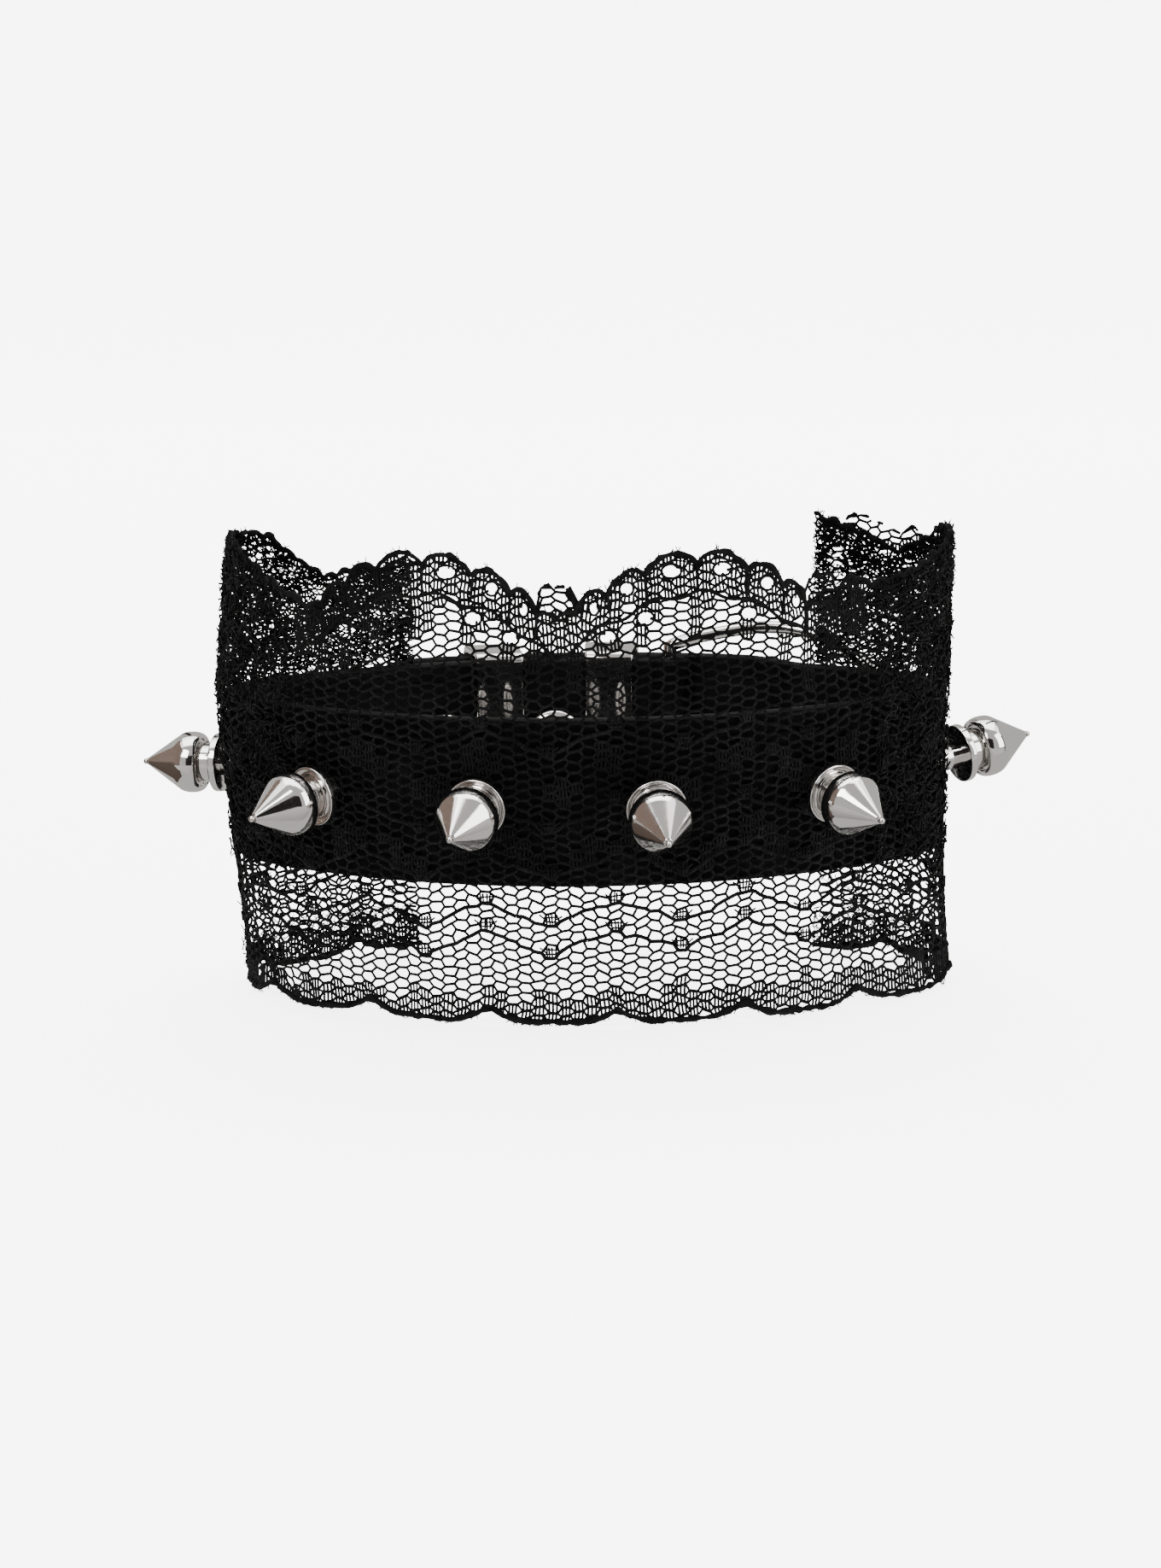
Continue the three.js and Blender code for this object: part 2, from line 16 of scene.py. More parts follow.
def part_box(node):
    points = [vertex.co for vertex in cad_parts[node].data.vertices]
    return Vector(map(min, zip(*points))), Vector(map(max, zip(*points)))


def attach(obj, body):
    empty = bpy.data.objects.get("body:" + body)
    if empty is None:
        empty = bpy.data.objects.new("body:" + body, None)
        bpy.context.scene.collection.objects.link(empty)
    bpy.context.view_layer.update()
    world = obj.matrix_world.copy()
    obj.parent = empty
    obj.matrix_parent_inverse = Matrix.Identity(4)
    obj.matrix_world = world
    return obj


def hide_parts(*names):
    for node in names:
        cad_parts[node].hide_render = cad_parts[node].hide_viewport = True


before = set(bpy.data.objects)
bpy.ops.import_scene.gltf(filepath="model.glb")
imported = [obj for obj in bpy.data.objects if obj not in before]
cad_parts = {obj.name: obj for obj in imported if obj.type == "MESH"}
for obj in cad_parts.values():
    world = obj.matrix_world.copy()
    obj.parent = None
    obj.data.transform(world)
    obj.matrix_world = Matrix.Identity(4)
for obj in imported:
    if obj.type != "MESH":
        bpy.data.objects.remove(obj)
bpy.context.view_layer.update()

bl_info = {
    "name": "Lace cuff",
    "version": (1, 0, 0),
    "blender": (4, 5, 0),
    "location": "3D View > Sidebar > Cuff",
    "description": "Builds a spiked leather cuff under a band of lace, in a pale studio",
    "category": "Object",
}

MM = 0.001


# Sizes and colours


def length(name, description, value):
    """A length to change, from its default in millimetres."""
    return FloatProperty(name=name, description=description, default=value * MM, min=0, unit="LENGTH")


def colour(name, description, value):
    """A colour to change."""
    return FloatVectorProperty(
        name=name, description=description, default=value, size=3, min=0, max=1, subtype="COLOR"
    )


class CuffSizes(bpy.types.PropertyGroup):
    """Sizes of the strap and its plan"""

    half_width: length("Half width", "Half of the wrist's width at the strap's outer face", 40.3)
    front_depth: length("Front depth", "From the middle of the wrist to the front", 22)
    back_depth: length("Back depth", "From the middle of the wrist to the back", 20)
    side_radius: length("Side radius", "Radius of the strap's bend at each side", 9.8)
    strap_height: length("Strap height", "Height of the leather strap", 19)
    strap_wall: length("Strap thickness", "Thickness of the leather strap", 2.2)
    strap_bottom: length("Strap bottom", "Height of the strap's lower edge", 15.5)
    stitch_inset: length("Stitch inset", "From the strap's edge to its row of stitches", 2.4)
    stitch_pitch: length("Stitch pitch", "From one stitch to the next", 2.9)
    overlap: length("Overlap", "Length of the tongue past the buckle bar", 39)
    tip_length: length("Tip length", "Length of the tongue's rounded end", 9)


class LaceSizes(bpy.types.PropertyGroup):
    """Sizes of the lace"""

    above: length("Height above strap", "From the strap's top edge to the highest fans", 18.35)
    scallop: length("Scallop pitch", "Pitch of the lower scallops", 14.4)
    scallop_depth: length("Scallop depth", "Depth of the notches of the hem", 1.6)
    fan_drop: length("Fan drop", "From the middle of a group of fans to the notch beside it", 7)
    fan_height: length("Fan height", "Height of one fan's bump", 1.75)
    bare_left: length("Bare left", "Strap left bare from the back centre to the left cut end", 20.2)
    bare_right: length("Bare right", "Strap left bare from the back centre to the right cut end", 27.6)
    thread: length("Thread", "Radius of a thread of the net", 0.17)
    gimp: length("Gimp", "Radius of the thick outline thread", 0.3)
    mesh: length("Mesh height", "Height of one cell of the net", 1.08)


class SpikeSizes(bpy.types.PropertyGroup):
    """Sizes of the spikes and their screws"""

    pitch: length("Spike pitch", "Usual distance between the spikes", 20.5)
    radius: length("Spike radius", "Radius of a spike's head", 3.52)
    flange: length("Flange radius", "Radius of the flange under a spike", 3.35)
    neck: length("Neck radius", "Radius of a spike's neck", 2.25)
    neck_length: length("Neck length", "Length of a spike's neck", 1.9)
    cone_length: length("Cone length", "Length of a spike's cone", 6.0)
    screw_head: length("Screw head", "Radius of the screw's head inside the strap", 3.4)


class BuckleSizes(bpy.types.PropertyGroup):
    """Sizes of the buckle, the keepers and the rivets"""

    wire: length("Wire radius", "Radius of the buckle frame's wire", 0.75)
    bar_past: length("Bar past centre", "From the back centre to the buckle bar", 10.3)
    frame_length: length("Frame length", "Length of the buckle frame along the strap", 27)
    frame_height: length("Frame height", "Height of the frame over the wire's middle", 26.2)
    prong: length("Prong radius", "Radius of the prong", 0.6)
    keeper_width: length("Keeper width", "Width of a keeper loop", 6)
    keeper_wall: length("Keeper thickness", "Thickness of a keeper loop", 0.8)
    rivet: length("Rivet radius", "Radius of a rivet's cap", 3.2)


class CuffFinish(bpy.types.PropertyGroup):
    """Colours of the finishes"""

    leather: colour("Leather", "Colour of the strap", (0.0012, 0.0012, 0.0013))
    thread: colour("Thread", "Colour of the lace", (0.0014, 0.0014, 0.0014))
    nickel: colour("Nickel", "Colour of the plated metal", (0.80, 0.785, 0.765))
    floor: colour("Floor", "Colour of the studio floor and backdrop", (0.93, 0.93, 0.93))


GROUPS = {
    "cuff_sizes": CuffSizes,
    "cuff_lace": LaceSizes,
    "cuff_spikes": SpikeSizes,
    "cuff_buckle": BuckleSizes,
    "cuff_finish": CuffFinish,
}


def in_mm(group):
    """The group's lengths as plain numbers in millimetres."""
    names = [p.identifier for p in group.bl_rna.properties if p.type == "FLOAT"]
    return SimpleNamespace(**{n: getattr(group, n) / MM for n in names})


# The wrist's plan

# How far the strap and the lace lean out from the plan, by place round the girth: place as a share of half
# the girth, then at the lace's top, the strap's top, the strap's foot and the lace's hem
LEANS = np.array([
    (-1.1, -0.4, 0, 0, 0.2),
    (-0.78, -0.8, 0.1, -0.1, -0.8),
    (-0.52, -1, 0.7, -0.7, -2),
    (-0.28, -0.3, 0.7, -0.7, -1.4),
    (0, 0.2, 0.8, -0.8, -0.8),
    (0.3, 0.1, 0.6, -0.6, -0.2),
    (0.52, 0.6, 0.1, -0.1, 0.8),
    (0.78, 0.2, 0, 0, -0.4),
    (1.1, 0, 0, 0, 0),
])
CROWN, TOP, FOOT, HEM = 1, 2, 3, 4

# In millimetres: the gap between two pieces, the lace's wall in the solids, and its face over the strap
GAP = 0.3
LACE_WALL = 1.0
ON_LACE = GAP + LACE_WALL + GAP

# The fans: shares of a scallop at which they meet, and how far in millimetres the groups right of the front
# are drawn over
FAN_BREAKS = (0.395, 0.675, 0.875)
FANS_DRAWN = 1.0

# In millimetres: how far from the front centre the fans are worked, where the crumpled ends start, and how
# far the outline threads stand out from the lace's own surface
FANS_TO = 31.5
CRUMPLE_FROM = 34.0
THREAD_OUT = 0.3

# The net: its columns in scallops, a column's flat edges in columns, and the rows of the dots at a notch
COLUMN = 0.1
FLAT_EDGE = 2 / 3
DOT_ROWS = (13.5, 10.5, 18.5, 23.5, 31.5)

# The lace's upper edge round each side, as place along the girth and height over the strap
LEFT_TOP = np.array([
    (-78, 18), (-70, 17), (-65.5, 14.8), (-62, 16.4), (-58, 18.5), (-49, 17.4), (-45, 17), (-40, 15.4),
    (-36, 13), (-33, 12.2),
])
RIGHT_TOP = np.array([(30, 12.6), (38, 14), (45, 16.6), (49, 18.2), (53, 17), (59, 13.8), (70, 18)])

# The spikes: place in pitches from the front centre, rise over the strap's middle in millimetres, and turn
# and droop in degrees off the strap
SPIKES = [
    (-2.54, 0.3, 3, -3),
    (-1.435, 0.6, -14, 4),
    (-0.545, 0.6, -6, 7),
    (0.355, 0.6, 0, 9.5),
    (1.315, 0.6, 4, 7),
    (2.46, 0.1, 17, -10),
]

# The camera: its distance, its lens and its target's height in millimetres, its rise and roll in degrees, and
# the shift of its picture as shares of the picture's height
CAMERA_FAR, CAMERA_LENS, TARGET_HEIGHT = 450, 90.5, 25.0
CAMERA_RISE, CAMERA_ROLL = 10.9, -0.6
PICTURE_SHIFT = (-6 / 1836, -20.5 / 1836)


def smooth(value, low, high):
    """Smoothstep: 0 below low, 1 above high, and 3t squared less 2t cubed between."""
    t = np.clip((value - low) / (high - low), 0, 1)
    return t * t * (3 - 2 * t)


def as_rows(*columns):
    """Rows made of columns, which are arrays or single numbers spread over one another."""
    return np.stack(np.broadcast_arrays(*columns), -1)


def ring_angles(count):
    """Angles of the corners of a full turn, evenly spread."""
    return 2 * np.pi * np.arange(count) / count


def plan_of(context):
    """The plan's arcs: a wide front and a wide back arc that meet two tight side arcs with a common tangent.

    An end arc of depth d has radius (s squared + d squared - r squared) / 2(d - r), where r is the side
    arc's radius and s how far its centre stands out.
    """
    scene = context.scene
    size, lace, buckle = in_mm(scene.cuff_sizes), in_mm(scene.cuff_lace), in_mm(scene.cuff_buckle)
    side = size.side_radius
    out = size.half_width - side

    def end_radius(depth):
        """Radius of the end arc of a depth."""
        return (out**2 + depth**2 - side**2) / (2 * (depth - side))

    front, back = end_radius(size.front_depth), end_radius(size.back_depth)
    front_turn = np.arctan2(out, front - size.front_depth)
    back_turn = np.arctan2(out, back - size.back_depth)
    front_arc, side_arc = front * front_turn, side * (np.pi - front_turn - back_turn)
    half = front_arc + side_arc + back * back_turn
    plan = SimpleNamespace(
        size=size, lace=lace, buckle=buckle, side=side, side_out=out, front=front, back=back,
        front_turn=front_turn, back_turn=back_turn, front_arc=front_arc, side_arc=side_arc,
        half=half, back_off=size.back_depth - back, front_off=front - size.front_depth,
        strap_top=size.strap_bottom + size.strap_height, middle=size.strap_bottom + size.strap_height / 2,
        lace_left=half - lace.bare_left, lace_right=half - lace.bare_right,
        notch=lace.scallop * 2 / 9, bar_at=-(half + buckle.bar_past), shift=np.zeros(3),
    )
    plan.roll = buckle.wire + GAP + size.strap_wall / 2
    plan.lift = max(plan.roll + GAP - size.strap_wall / 2, ON_LACE) + size.strap_wall
    plan.bar_place = 2 * half + plan.bar_at
    plan.crossing = plan.bar_place - 0.46 * buckle.frame_length
    plan.tip = plan.bar_place + size.overlap
    run = np.linspace(plan.bar_at, plan.tip - size.tip_length, 1500)
    rise = tongue_rise(plan, run)
    leans = [lean_at(plan, run, edge) for edge in (TOP, FOOT)]
    outer = np.concatenate([wall_point(plan, run, rise + lean, 0) for lean in leans])
    low = np.array(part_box("strap")[0]) / MM
    plan.shift = np.array([low[0] - outer[:, 0].min(), low[1] - outer[:, 1].min(), 0])
    return plan


def plan_at(plan, along):
    """Side, heading angle, arc centre and arc radius at places along the girth."""
    s = np.mod(np.asarray(along, float) + plan.half, 2 * plan.half) - plan.half
    side, run = np.where(s < 0, -1.0, 1.0), np.abs(s)
    on_front, on_side = run < plan.front_arc, run < plan.front_arc + plan.side_arc
    angle = np.where(
        on_front,
        run / plan.front,
        np.where(
            on_side,
            plan.front_turn + (run - plan.front_arc) / plan.side,
            np.pi - plan.back_turn + (run - plan.front_arc - plan.side_arc) / plan.back,
        ),
    )
    x = np.where(on_side & ~on_front, plan.side_out, 0.0)
    y = np.where(on_front, plan.front_off, np.where(on_side, 0.0, plan.back_off))
    radius = np.where(on_front, plan.front, np.where(on_side, plan.side, plan.back))
    return side, angle, x, y, radius


def wall_point(plan, along, out, height):
    """Points on the wall: the arc's centre, plus its radius and out along the heading, at a height."""
    side, angle, x, y, radius = plan_at(plan, along)
    reach = radius + out
    return as_rows(side * (x + reach * np.sin(angle)), y - reach * np.cos(angle), height) + plan.shift


def normal_at(plan, along):
    """Level headings straight out of the wall at places along the girth."""
    side, angle, *_ = plan_at(plan, along)
    return as_rows(side * np.sin(angle), -np.cos(angle), 0.0)


def lean_at(plan, along, column):
    """Lean of one column at places along the girth, eased by a smoothstep between the table's rows."""
    share = np.mod(np.asarray(along, float) / plan.half + 1, 2) - 1
    row = np.clip(np.searchsorted(LEANS[:, 0], share, side="right"), 1, len(LEANS) - 1)
    low, high = LEANS[row - 1], LEANS[row]
    t = smooth(share, low[..., 0], high[..., 0])
    return low[..., column] * (1 - t) + high[..., column] * t


def tongue_rise(plan, along):
    """How far the tongue has come out over the strap, by a smoothstep as it crosses the buckle frame."""
    run = 0.37 * plan.buckle.frame_length / 2
    return plan.lift * smooth(along, plan.crossing - run, plan.crossing + run)


def fan_share(plan, along):
    """Distance from the middle of the group of fans, as a share of a scallop."""
    pitch = plan.lace.scallop
    drawn = along - FANS_DRAWN * smooth(along, -6, 6)
    return np.abs(np.mod(drawn + plan.notch, 2 * pitch) - pitch) / pitch


def fan_middles(plan):
    """Middles of the groups of fans: two scallops apart, and drawn over right of the front."""
    middles = plan.lace.scallop * (2 * np.arange(-4, 4) + 1) - plan.notch
    return middles + FANS_DRAWN * (middles > 0)


def dip_height(plan, along):
    """Height of the dips between the fans: it falls with the square of the share."""
    lace = plan.lace
    return plan.strap_top + lace.above - lace.fan_height - lace.fan_drop * fan_share(plan, along) ** 2


def fan_across(share):
    """Place across the fan at a share, from 0 at one dip to 1 at the next."""
    one, two, three = FAN_BREAKS
    inside = [share <= one, share <= two, share <= three]
    low = np.select(inside, [0, one, two], three)
    high = np.select(inside, [one, two, three], 2 - three)
    return (share - low) / (high - low)


def lace_top(plan, along):
    """Upper outline: the dips' height plus a rounded bump over each fan, the 0.6 power of a parabola, and
    round each side straight runs between the rows of its table, with a small sine wave on them."""
    across = np.clip(fan_across(fan_share(plan, along)), 0, 1)
    fans = dip_height(plan, along) + plan.lace.fan_height * (4 * across * (1 - across)) ** 0.6
    runs = np.where(along < 0, np.interp(along, *LEFT_TOP.T), np.interp(along, *RIGHT_TOP.T))
    runs = plan.strap_top + runs + 0.2 * np.sin(along * 3.3)
    end = np.where(along < 0, smooth(-along, 31.5, 34.5), smooth(along, 30.5, 33.5))
    return fans * (1 - end) + runs * end


def lace_bottom(plan, along):
    """Lower outline: flat over the middle third of a scallop, then rising as a square to the notch."""
    across = np.mod((along - plan.notch) / plan.lace.scallop, 1)
    return plan.lace.scallop_depth * (np.maximum(0, np.abs(across - 0.5) - 1 / 6) * 3) ** 2


def lace_lean(plan, along, height):
    """Lean of the lace: straight from the strap's edge to the lace's edge, and with the strap between."""
    top, foot = lean_at(plan, along, TOP), lean_at(plan, along, FOOT)
    crown, hem = lean_at(plan, along, CROWN), lean_at(plan, along, HEM)
    up = (height - plan.strap_top) / np.maximum(lace_top(plan, along) - plan.strap_top, 1)
    down = (plan.size.strap_bottom - height) / (plan.size.strap_bottom - lace_bottom(plan, along))
    middle = np.clip((height - plan.size.strap_bottom) / plan.size.strap_height, 0, 1)
    lean = foot + (top - foot) * middle
    lean = lean + np.where(up > 0, (crown - top) * up, 0)
    return lean + np.where(down > 0, (hem - foot) * down, 0)


def seat_matrix(plan, along, turn=0.0, droop=0.0, rise=0.0):
    """Frame of a piece on the strap's outer face: its Y runs out of the face and its Z up it."""
    outward = Vector(normal_at(plan, along))
    heading = Vector((0, 1, 0)).rotation_difference(outward)
    across = Vector((outward.y, -outward.x, 0))
    top, foot = float(lean_at(plan, along, TOP)), float(lean_at(plan, along, FOOT))
    tip = np.arctan((top - foot) / plan.size.strap_height) + np.radians(droop)
    turned = Matrix.Rotation(-tip, 4, across) @ heading.to_matrix().to_4x4()
    turned = Matrix.Rotation(np.radians(turn), 4, "Z") @ turned
    place = wall_point(plan, along, (top + foot) / 2, plan.middle + rise)
    return np.array(Matrix.Translation(place) @ turned)


# Meshes


def new_piece(name, points, faces, material, slot, nodes=()):
    """A piece from points in millimetres and a list of arrays of faces; it rides with the cuff."""
    mesh = bpy.data.meshes.new(name)
    mesh.from_pydata((np.asarray(points) * MM).tolist(), [], [f for part in faces for f in part.tolist()])
    mesh.polygons.foreach_set("use_smooth", np.ones(len(mesh.polygons), bool))
    mesh.materials.append(material)
    mesh.validate()
    mesh.update()
    piece = bpy.data.objects.new(name, mesh)
    bpy.context.scene.collection.objects.link(piece)
    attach(piece, "root")
    if nodes:
        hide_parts(*nodes)
    return piece


def join_shells(shells):
    """Several (points, faces) shells as one, with the later ones' indices moved up."""
    points, faces, start = [], [], 0
    for shell_points, shell_faces in shells:
        points.append(shell_points)
        faces += [part + start for part in shell_faces]
        start += len(shell_points)
    return np.concatenate(points), faces


def grid_faces(rows, columns, wrap_rows=False, wrap_columns=True):
    """Quads of a grid of points numbered row by row."""
    i = np.arange(rows if wrap_rows else rows - 1)[:, None]
    j = np.arange(columns if wrap_columns else columns - 1)[None, :]
    i2, j2 = (i + 1) % rows, (j + 1) % columns
    quads = [i * columns + j, i * columns + j2, i2 * columns + j2, i2 * columns + j]
    return as_rows(*quads).reshape(-1, 4)


def ring_steps(count):
    """Numbers of a ring's corners, and of the corner after each."""
    corner = np.arange(count)
    return corner, (corner + 1) % count


def turned_shell(profile, sides, matrix):
    """A profile of (radius, height) turned about Y; its first and last points are on the axis."""
    profile = np.asarray(profile, float)
    inner = profile[1:-1]
    turn = ring_angles(sides)
    ring = as_rows(inner[:, :1] * np.sin(turn), inner[:, 1:], inner[:, :1] * np.cos(turn)).reshape(-1, 3)
    poles = np.array([[0, profile[0, 1], 0], [0, profile[-1, 1], 0]])
    points = np.concatenate([ring, poles])
    j, k = ring_steps(sides)
    last = (len(inner) - 1) * sides
    caps = [as_rows(len(ring), k, j), as_rows(len(ring) + 1, last + j, last + k)]
    faces = [grid_faces(len(inner), sides), *caps]
    return points @ matrix[:3, :3].T + matrix[:3, 3], faces


def rounded(profile, radius=0.15, steps=4):
    """A profile with each inner corner rounded by a quadratic curve that starts radius away from it."""
    profile = np.asarray(profile, float)
    before, corner, after = profile[:-2], profile[1:-1], profile[2:]
    back, on = before - corner, after - corner
    back_long, on_long = (np.maximum(np.linalg.norm(v, axis=1, keepdims=True), 1e-6) for v in (back, on))
    reach = np.minimum(radius, 0.45 * np.minimum(back_long, on_long))
    start, end = corner + back / back_long * reach, corner + on / on_long * reach
    t = np.linspace(0, 1, steps + 1)[None, :, None]
    curve = (1 - t) ** 2 * start[:, None] + 2 * t * (1 - t) * corner[:, None] + t**2 * end[:, None]
    return np.concatenate([profile[:1], curve.reshape(-1, 2), profile[-1:]])


def tube_shell(path, radius, outward, sides=12, closed=False):
    """A round tube along a path of points: its rings stand across the path's tangent."""
    path = np.asarray(path, float)
    if closed:
        tangent = np.roll(path, -1, 0) - np.roll(path, 1, 0)
    else:
        tangent = np.gradient(path, axis=0)
    tangent /= np.linalg.norm(tangent, axis=1, keepdims=True)
    across = np.cross(tangent, outward)
    across /= np.linalg.norm(across, axis=1, keepdims=True)
    up = np.cross(across, tangent)
    angle = ring_angles(sides)[:, None]
    radius = np.broadcast_to(radius, len(path))[:, None, None]
    ring = path[:, None] + radius * (across[:, None] * np.cos(angle) + up[:, None] * np.sin(angle))
    points = ring.reshape(-1, 3)
    faces = [grid_faces(len(path), sides, wrap_rows=closed)]
    if not closed:
        n = len(points)
        ends = path[[0, -1]] + tangent[[0, -1]] * radius[[0, -1], :, 0] * np.array([[-0.6], [0.6]])
        points = np.concatenate([points, ends])
        j, k = ring_steps(sides)
        faces += [as_rows(n, k, j), as_rows(n + 1, n - sides + j, n - sides + k)]
    return points, faces


def thread_shell(plan, start, end, radius, sides=3):
    """Short straight threads of the lace, as closed prisms.

    start and end are rows of (along, height, out), out from the lace's own surface. The corners of a
    prism stand round its line in that flat space, and are then carried onto the lace.
    """
    start, end = np.asarray(start, float), np.asarray(end, float)
    heading = end - start
    long = np.maximum(np.linalg.norm(heading[:, :2], axis=1), 1e-6)
    across = as_rows(-heading[:, 1] / long, heading[:, 0] / long, 0.0)
    angle = (2 * np.pi * (np.arange(sides) + 0.25) / sides)[:, None]
    radius = np.broadcast_to(radius, len(start))[:, None, None]
    ring = radius * (across[:, None] * np.cos(angle) + np.array([0, 0, 1.0]) * np.sin(angle))
    corners = np.stack([start[:, None] + ring, end[:, None] + ring], 1).reshape(-1, 3)
    base = np.arange(len(start))[:, None] * 2 * sides
    j, k = ring_steps(sides)
    walls = as_rows(base + k, base + j, base + sides + j, base + sides + k)
    ends = np.concatenate([base + j, base + sides + j[::-1]])
    return lace_point(plan, corners), [walls.reshape(-1, 4), ends]


def path_shell(plan, path, radius, sides=5, closed=False):
    """A long thread along a path of (along, height, out) over the lace's surface."""
    points = lace_point(plan, np.asarray(path, float))
    return tube_shell(points, radius, normal_at(plan, np.asarray(path)[:, 0]), sides, closed)


def ripple(plan, along, height):
    """Gentle waves of the free cloth: three sines, growing with the distance from the strap."""
    free = np.maximum(0, height - plan.strap_top) + np.maximum(0, plan.size.strap_bottom - height)
    grow = smooth(free, 0, 14)
    wave = np.sin(along * 0.33 + 0.6) + 0.6 * np.sin(along * 0.71 + height * 0.12) + 0.3 * np.sin(along * 1.9)
    return 0.28 * grow * wave


def slumped(plan, along, height):
    """Heights above the strap where the lace has slumped at its left cut end: less by up to a third."""
    above = np.maximum(0, height - plan.strap_top)
    return height - above * 0.33 * smooth(-along, 49, 74)


def lace_point(plan, places):
    """Points in space of places given as (along, height, out from the lace's own surface)."""
    along, height, out = places[:, 0], places[:, 1], places[:, 2]
    wall = GAP + out + lace_lean(plan, along, height) + ripple(plan, along, height)
    return wall_point(plan, along, wall, slumped(plan, along, height))


# Shader nodes


def node_group(name, inputs, outputs):
    """A new shader node group with its input and output nodes."""
    group = bpy.data.node_groups.new(name, "ShaderNodeTree")
    for label, kind, value in inputs:
        socket = group.interface.new_socket(name=label, in_out="INPUT", socket_type=kind)
        if value is not None:
            socket.default_value = value
    for label, kind in outputs:
        group.interface.new_socket(name=label, in_out="OUTPUT", socket_type=kind)
    return group, group.nodes.new("NodeGroupInput"), group.nodes.new("NodeGroupOutput")


def add_node(tree, kind, values=None, **settings):
    """A new node with its settings and the values of its inputs."""
    node = tree.nodes.new(kind)
    for key, value in settings.items():
        setattr(node, key, value)
    for key, value in (values or {}).items():
        node.inputs[key].default_value = value
    return node


def noise(tree, vector, scale):
    """Soft noise of a scale, as a value about 0.5."""
    node = add_node(tree, "ShaderNodeTexNoise", {"Scale": scale, "Detail": 3.0, "Roughness": 0.55})
    tree.links.new(vector, node.inputs["Vector"])
    return node.outputs["Fac"]


def remap(tree, value, low, high, to_low, to_high):
    """The value carried from one range to another, and held at its ends."""
    node = add_node(
        tree, "ShaderNodeMapRange",
        {"From Min": low, "From Max": high, "To Min": to_low, "To Max": to_high},
    )
    tree.links.new(value, node.inputs["Value"])
    return node.outputs["Result"]


def mottle_group():
    """Soft uneven patches over a surface, as a value about 0.5, from two sizes of noise."""
    group, taken, given = node_group(
        "uneven patches",
        [
            ("Vector", "NodeSocketVector", None),
            ("Large", "NodeSocketFloat", 120.0),
            ("Small", "NodeSocketFloat", 700.0),
        ],
        [("Value", "NodeSocketFloat")],
    )
    large = add_node(group, "ShaderNodeTexNoise", {"Detail": 3.0})
    small = add_node(group, "ShaderNodeTexNoise", {"Detail": 2.0})
    mix = add_node(group, "ShaderNodeMix", {"Factor": 0.35})
    for node, label in ((large, "Large"), (small, "Small")):
        group.links.new(taken.outputs["Vector"], node.inputs["Vector"])
        group.links.new(taken.outputs[label], node.inputs["Scale"])
    group.links.new(large.outputs["Fac"], mix.inputs["A"])
    group.links.new(small.outputs["Fac"], mix.inputs["B"])
    group.links.new(mix.outputs["Result"], given.inputs["Value"])
    return group


def grain_group():
    """Pebbled leather grain, as a height: rounded cells with creases between them, and fine pores."""
    group, taken, given = node_group(
        "leather grain",
        [("Vector", "NodeSocketVector", None), ("Scale", "NodeSocketFloat", 1100.0)],
        [("Height", "NodeSocketFloat")],
    )
    cells = add_node(group, "ShaderNodeTexVoronoi", feature="DISTANCE_TO_EDGE")
    fine = add_node(group, "ShaderNodeTexNoise", {"Scale": 2600.0, "Detail": 2.0})
    group.links.new(taken.outputs["Vector"], cells.inputs["Vector"])
    group.links.new(taken.outputs["Scale"], cells.inputs["Scale"])
    group.links.new(taken.outputs["Vector"], fine.inputs["Vector"])
    pebble = remap(group, cells.outputs["Distance"], 0, 0.35, 0, 1)
    mix = add_node(group, "ShaderNodeMix", {"Factor": 0.25})
    group.links.new(pebble, mix.inputs["A"])
    group.links.new(fine.outputs["Fac"], mix.inputs["B"])
    group.links.new(mix.outputs["Result"], given.inputs["Height"])
    return group


def shared_groups():
    """The node groups, built once and kept by name."""
    makers = {"uneven patches": mottle_group, "leather grain": grain_group}
    return {name: bpy.data.node_groups.get(name) or make() for name, make in makers.items()}


def new_material(name, values):
    """A material with a Principled shader and its Object coordinates."""
    material = bpy.data.materials.new(name)
    material.use_nodes = True
    tree = material.node_tree
    tree.nodes.clear()
    output = tree.nodes.new("ShaderNodeOutputMaterial")
    shader = add_node(tree, "ShaderNodeBsdfPrincipled", values)
    tree.links.new(shader.outputs["BSDF"], output.inputs["Surface"])
    place = tree.nodes.new("ShaderNodeTexCoord").outputs["Object"]
    return material, tree, shader, place


def grouped(tree, name, vector, values):
    """A node that holds one of the shared groups, with the values of its inputs."""
    node = add_node(tree, "ShaderNodeGroup", node_tree=shared_groups()[name])
    tree.links.new(vector, node.inputs["Vector"])
    for key, value in values.items():
        node.inputs[key].default_value = value
    return node


def uneven(tree, place, large, small):
    """The value of the uneven patches at two scales."""
    return grouped(tree, "uneven patches", place, {"Large": large, "Small": small}).outputs["Value"]


def two_colours(tree, factor, low, high):
    """Base colour between two colours by a factor."""
    mix = add_node(tree, "ShaderNodeMix", data_type="RGBA")
    mix.inputs["A"].default_value = (*low, 1)
    mix.inputs["B"].default_value = (*high, 1)
    tree.links.new(factor, mix.inputs["Factor"])
    return mix.outputs["Result"]


def bump(tree, height, shader, strength, distance):
    """Bends the shader's normals by a height."""
    node = add_node(tree, "ShaderNodeBump", {"Strength": strength, "Distance": distance})
    tree.links.new(height, node.inputs["Height"])
    tree.links.new(node.outputs["Normal"], shader.inputs["Normal"])


def kept(name, make):
    """The material of that name, made the first time it is asked for."""
    return bpy.data.materials.get(name) or make(name)


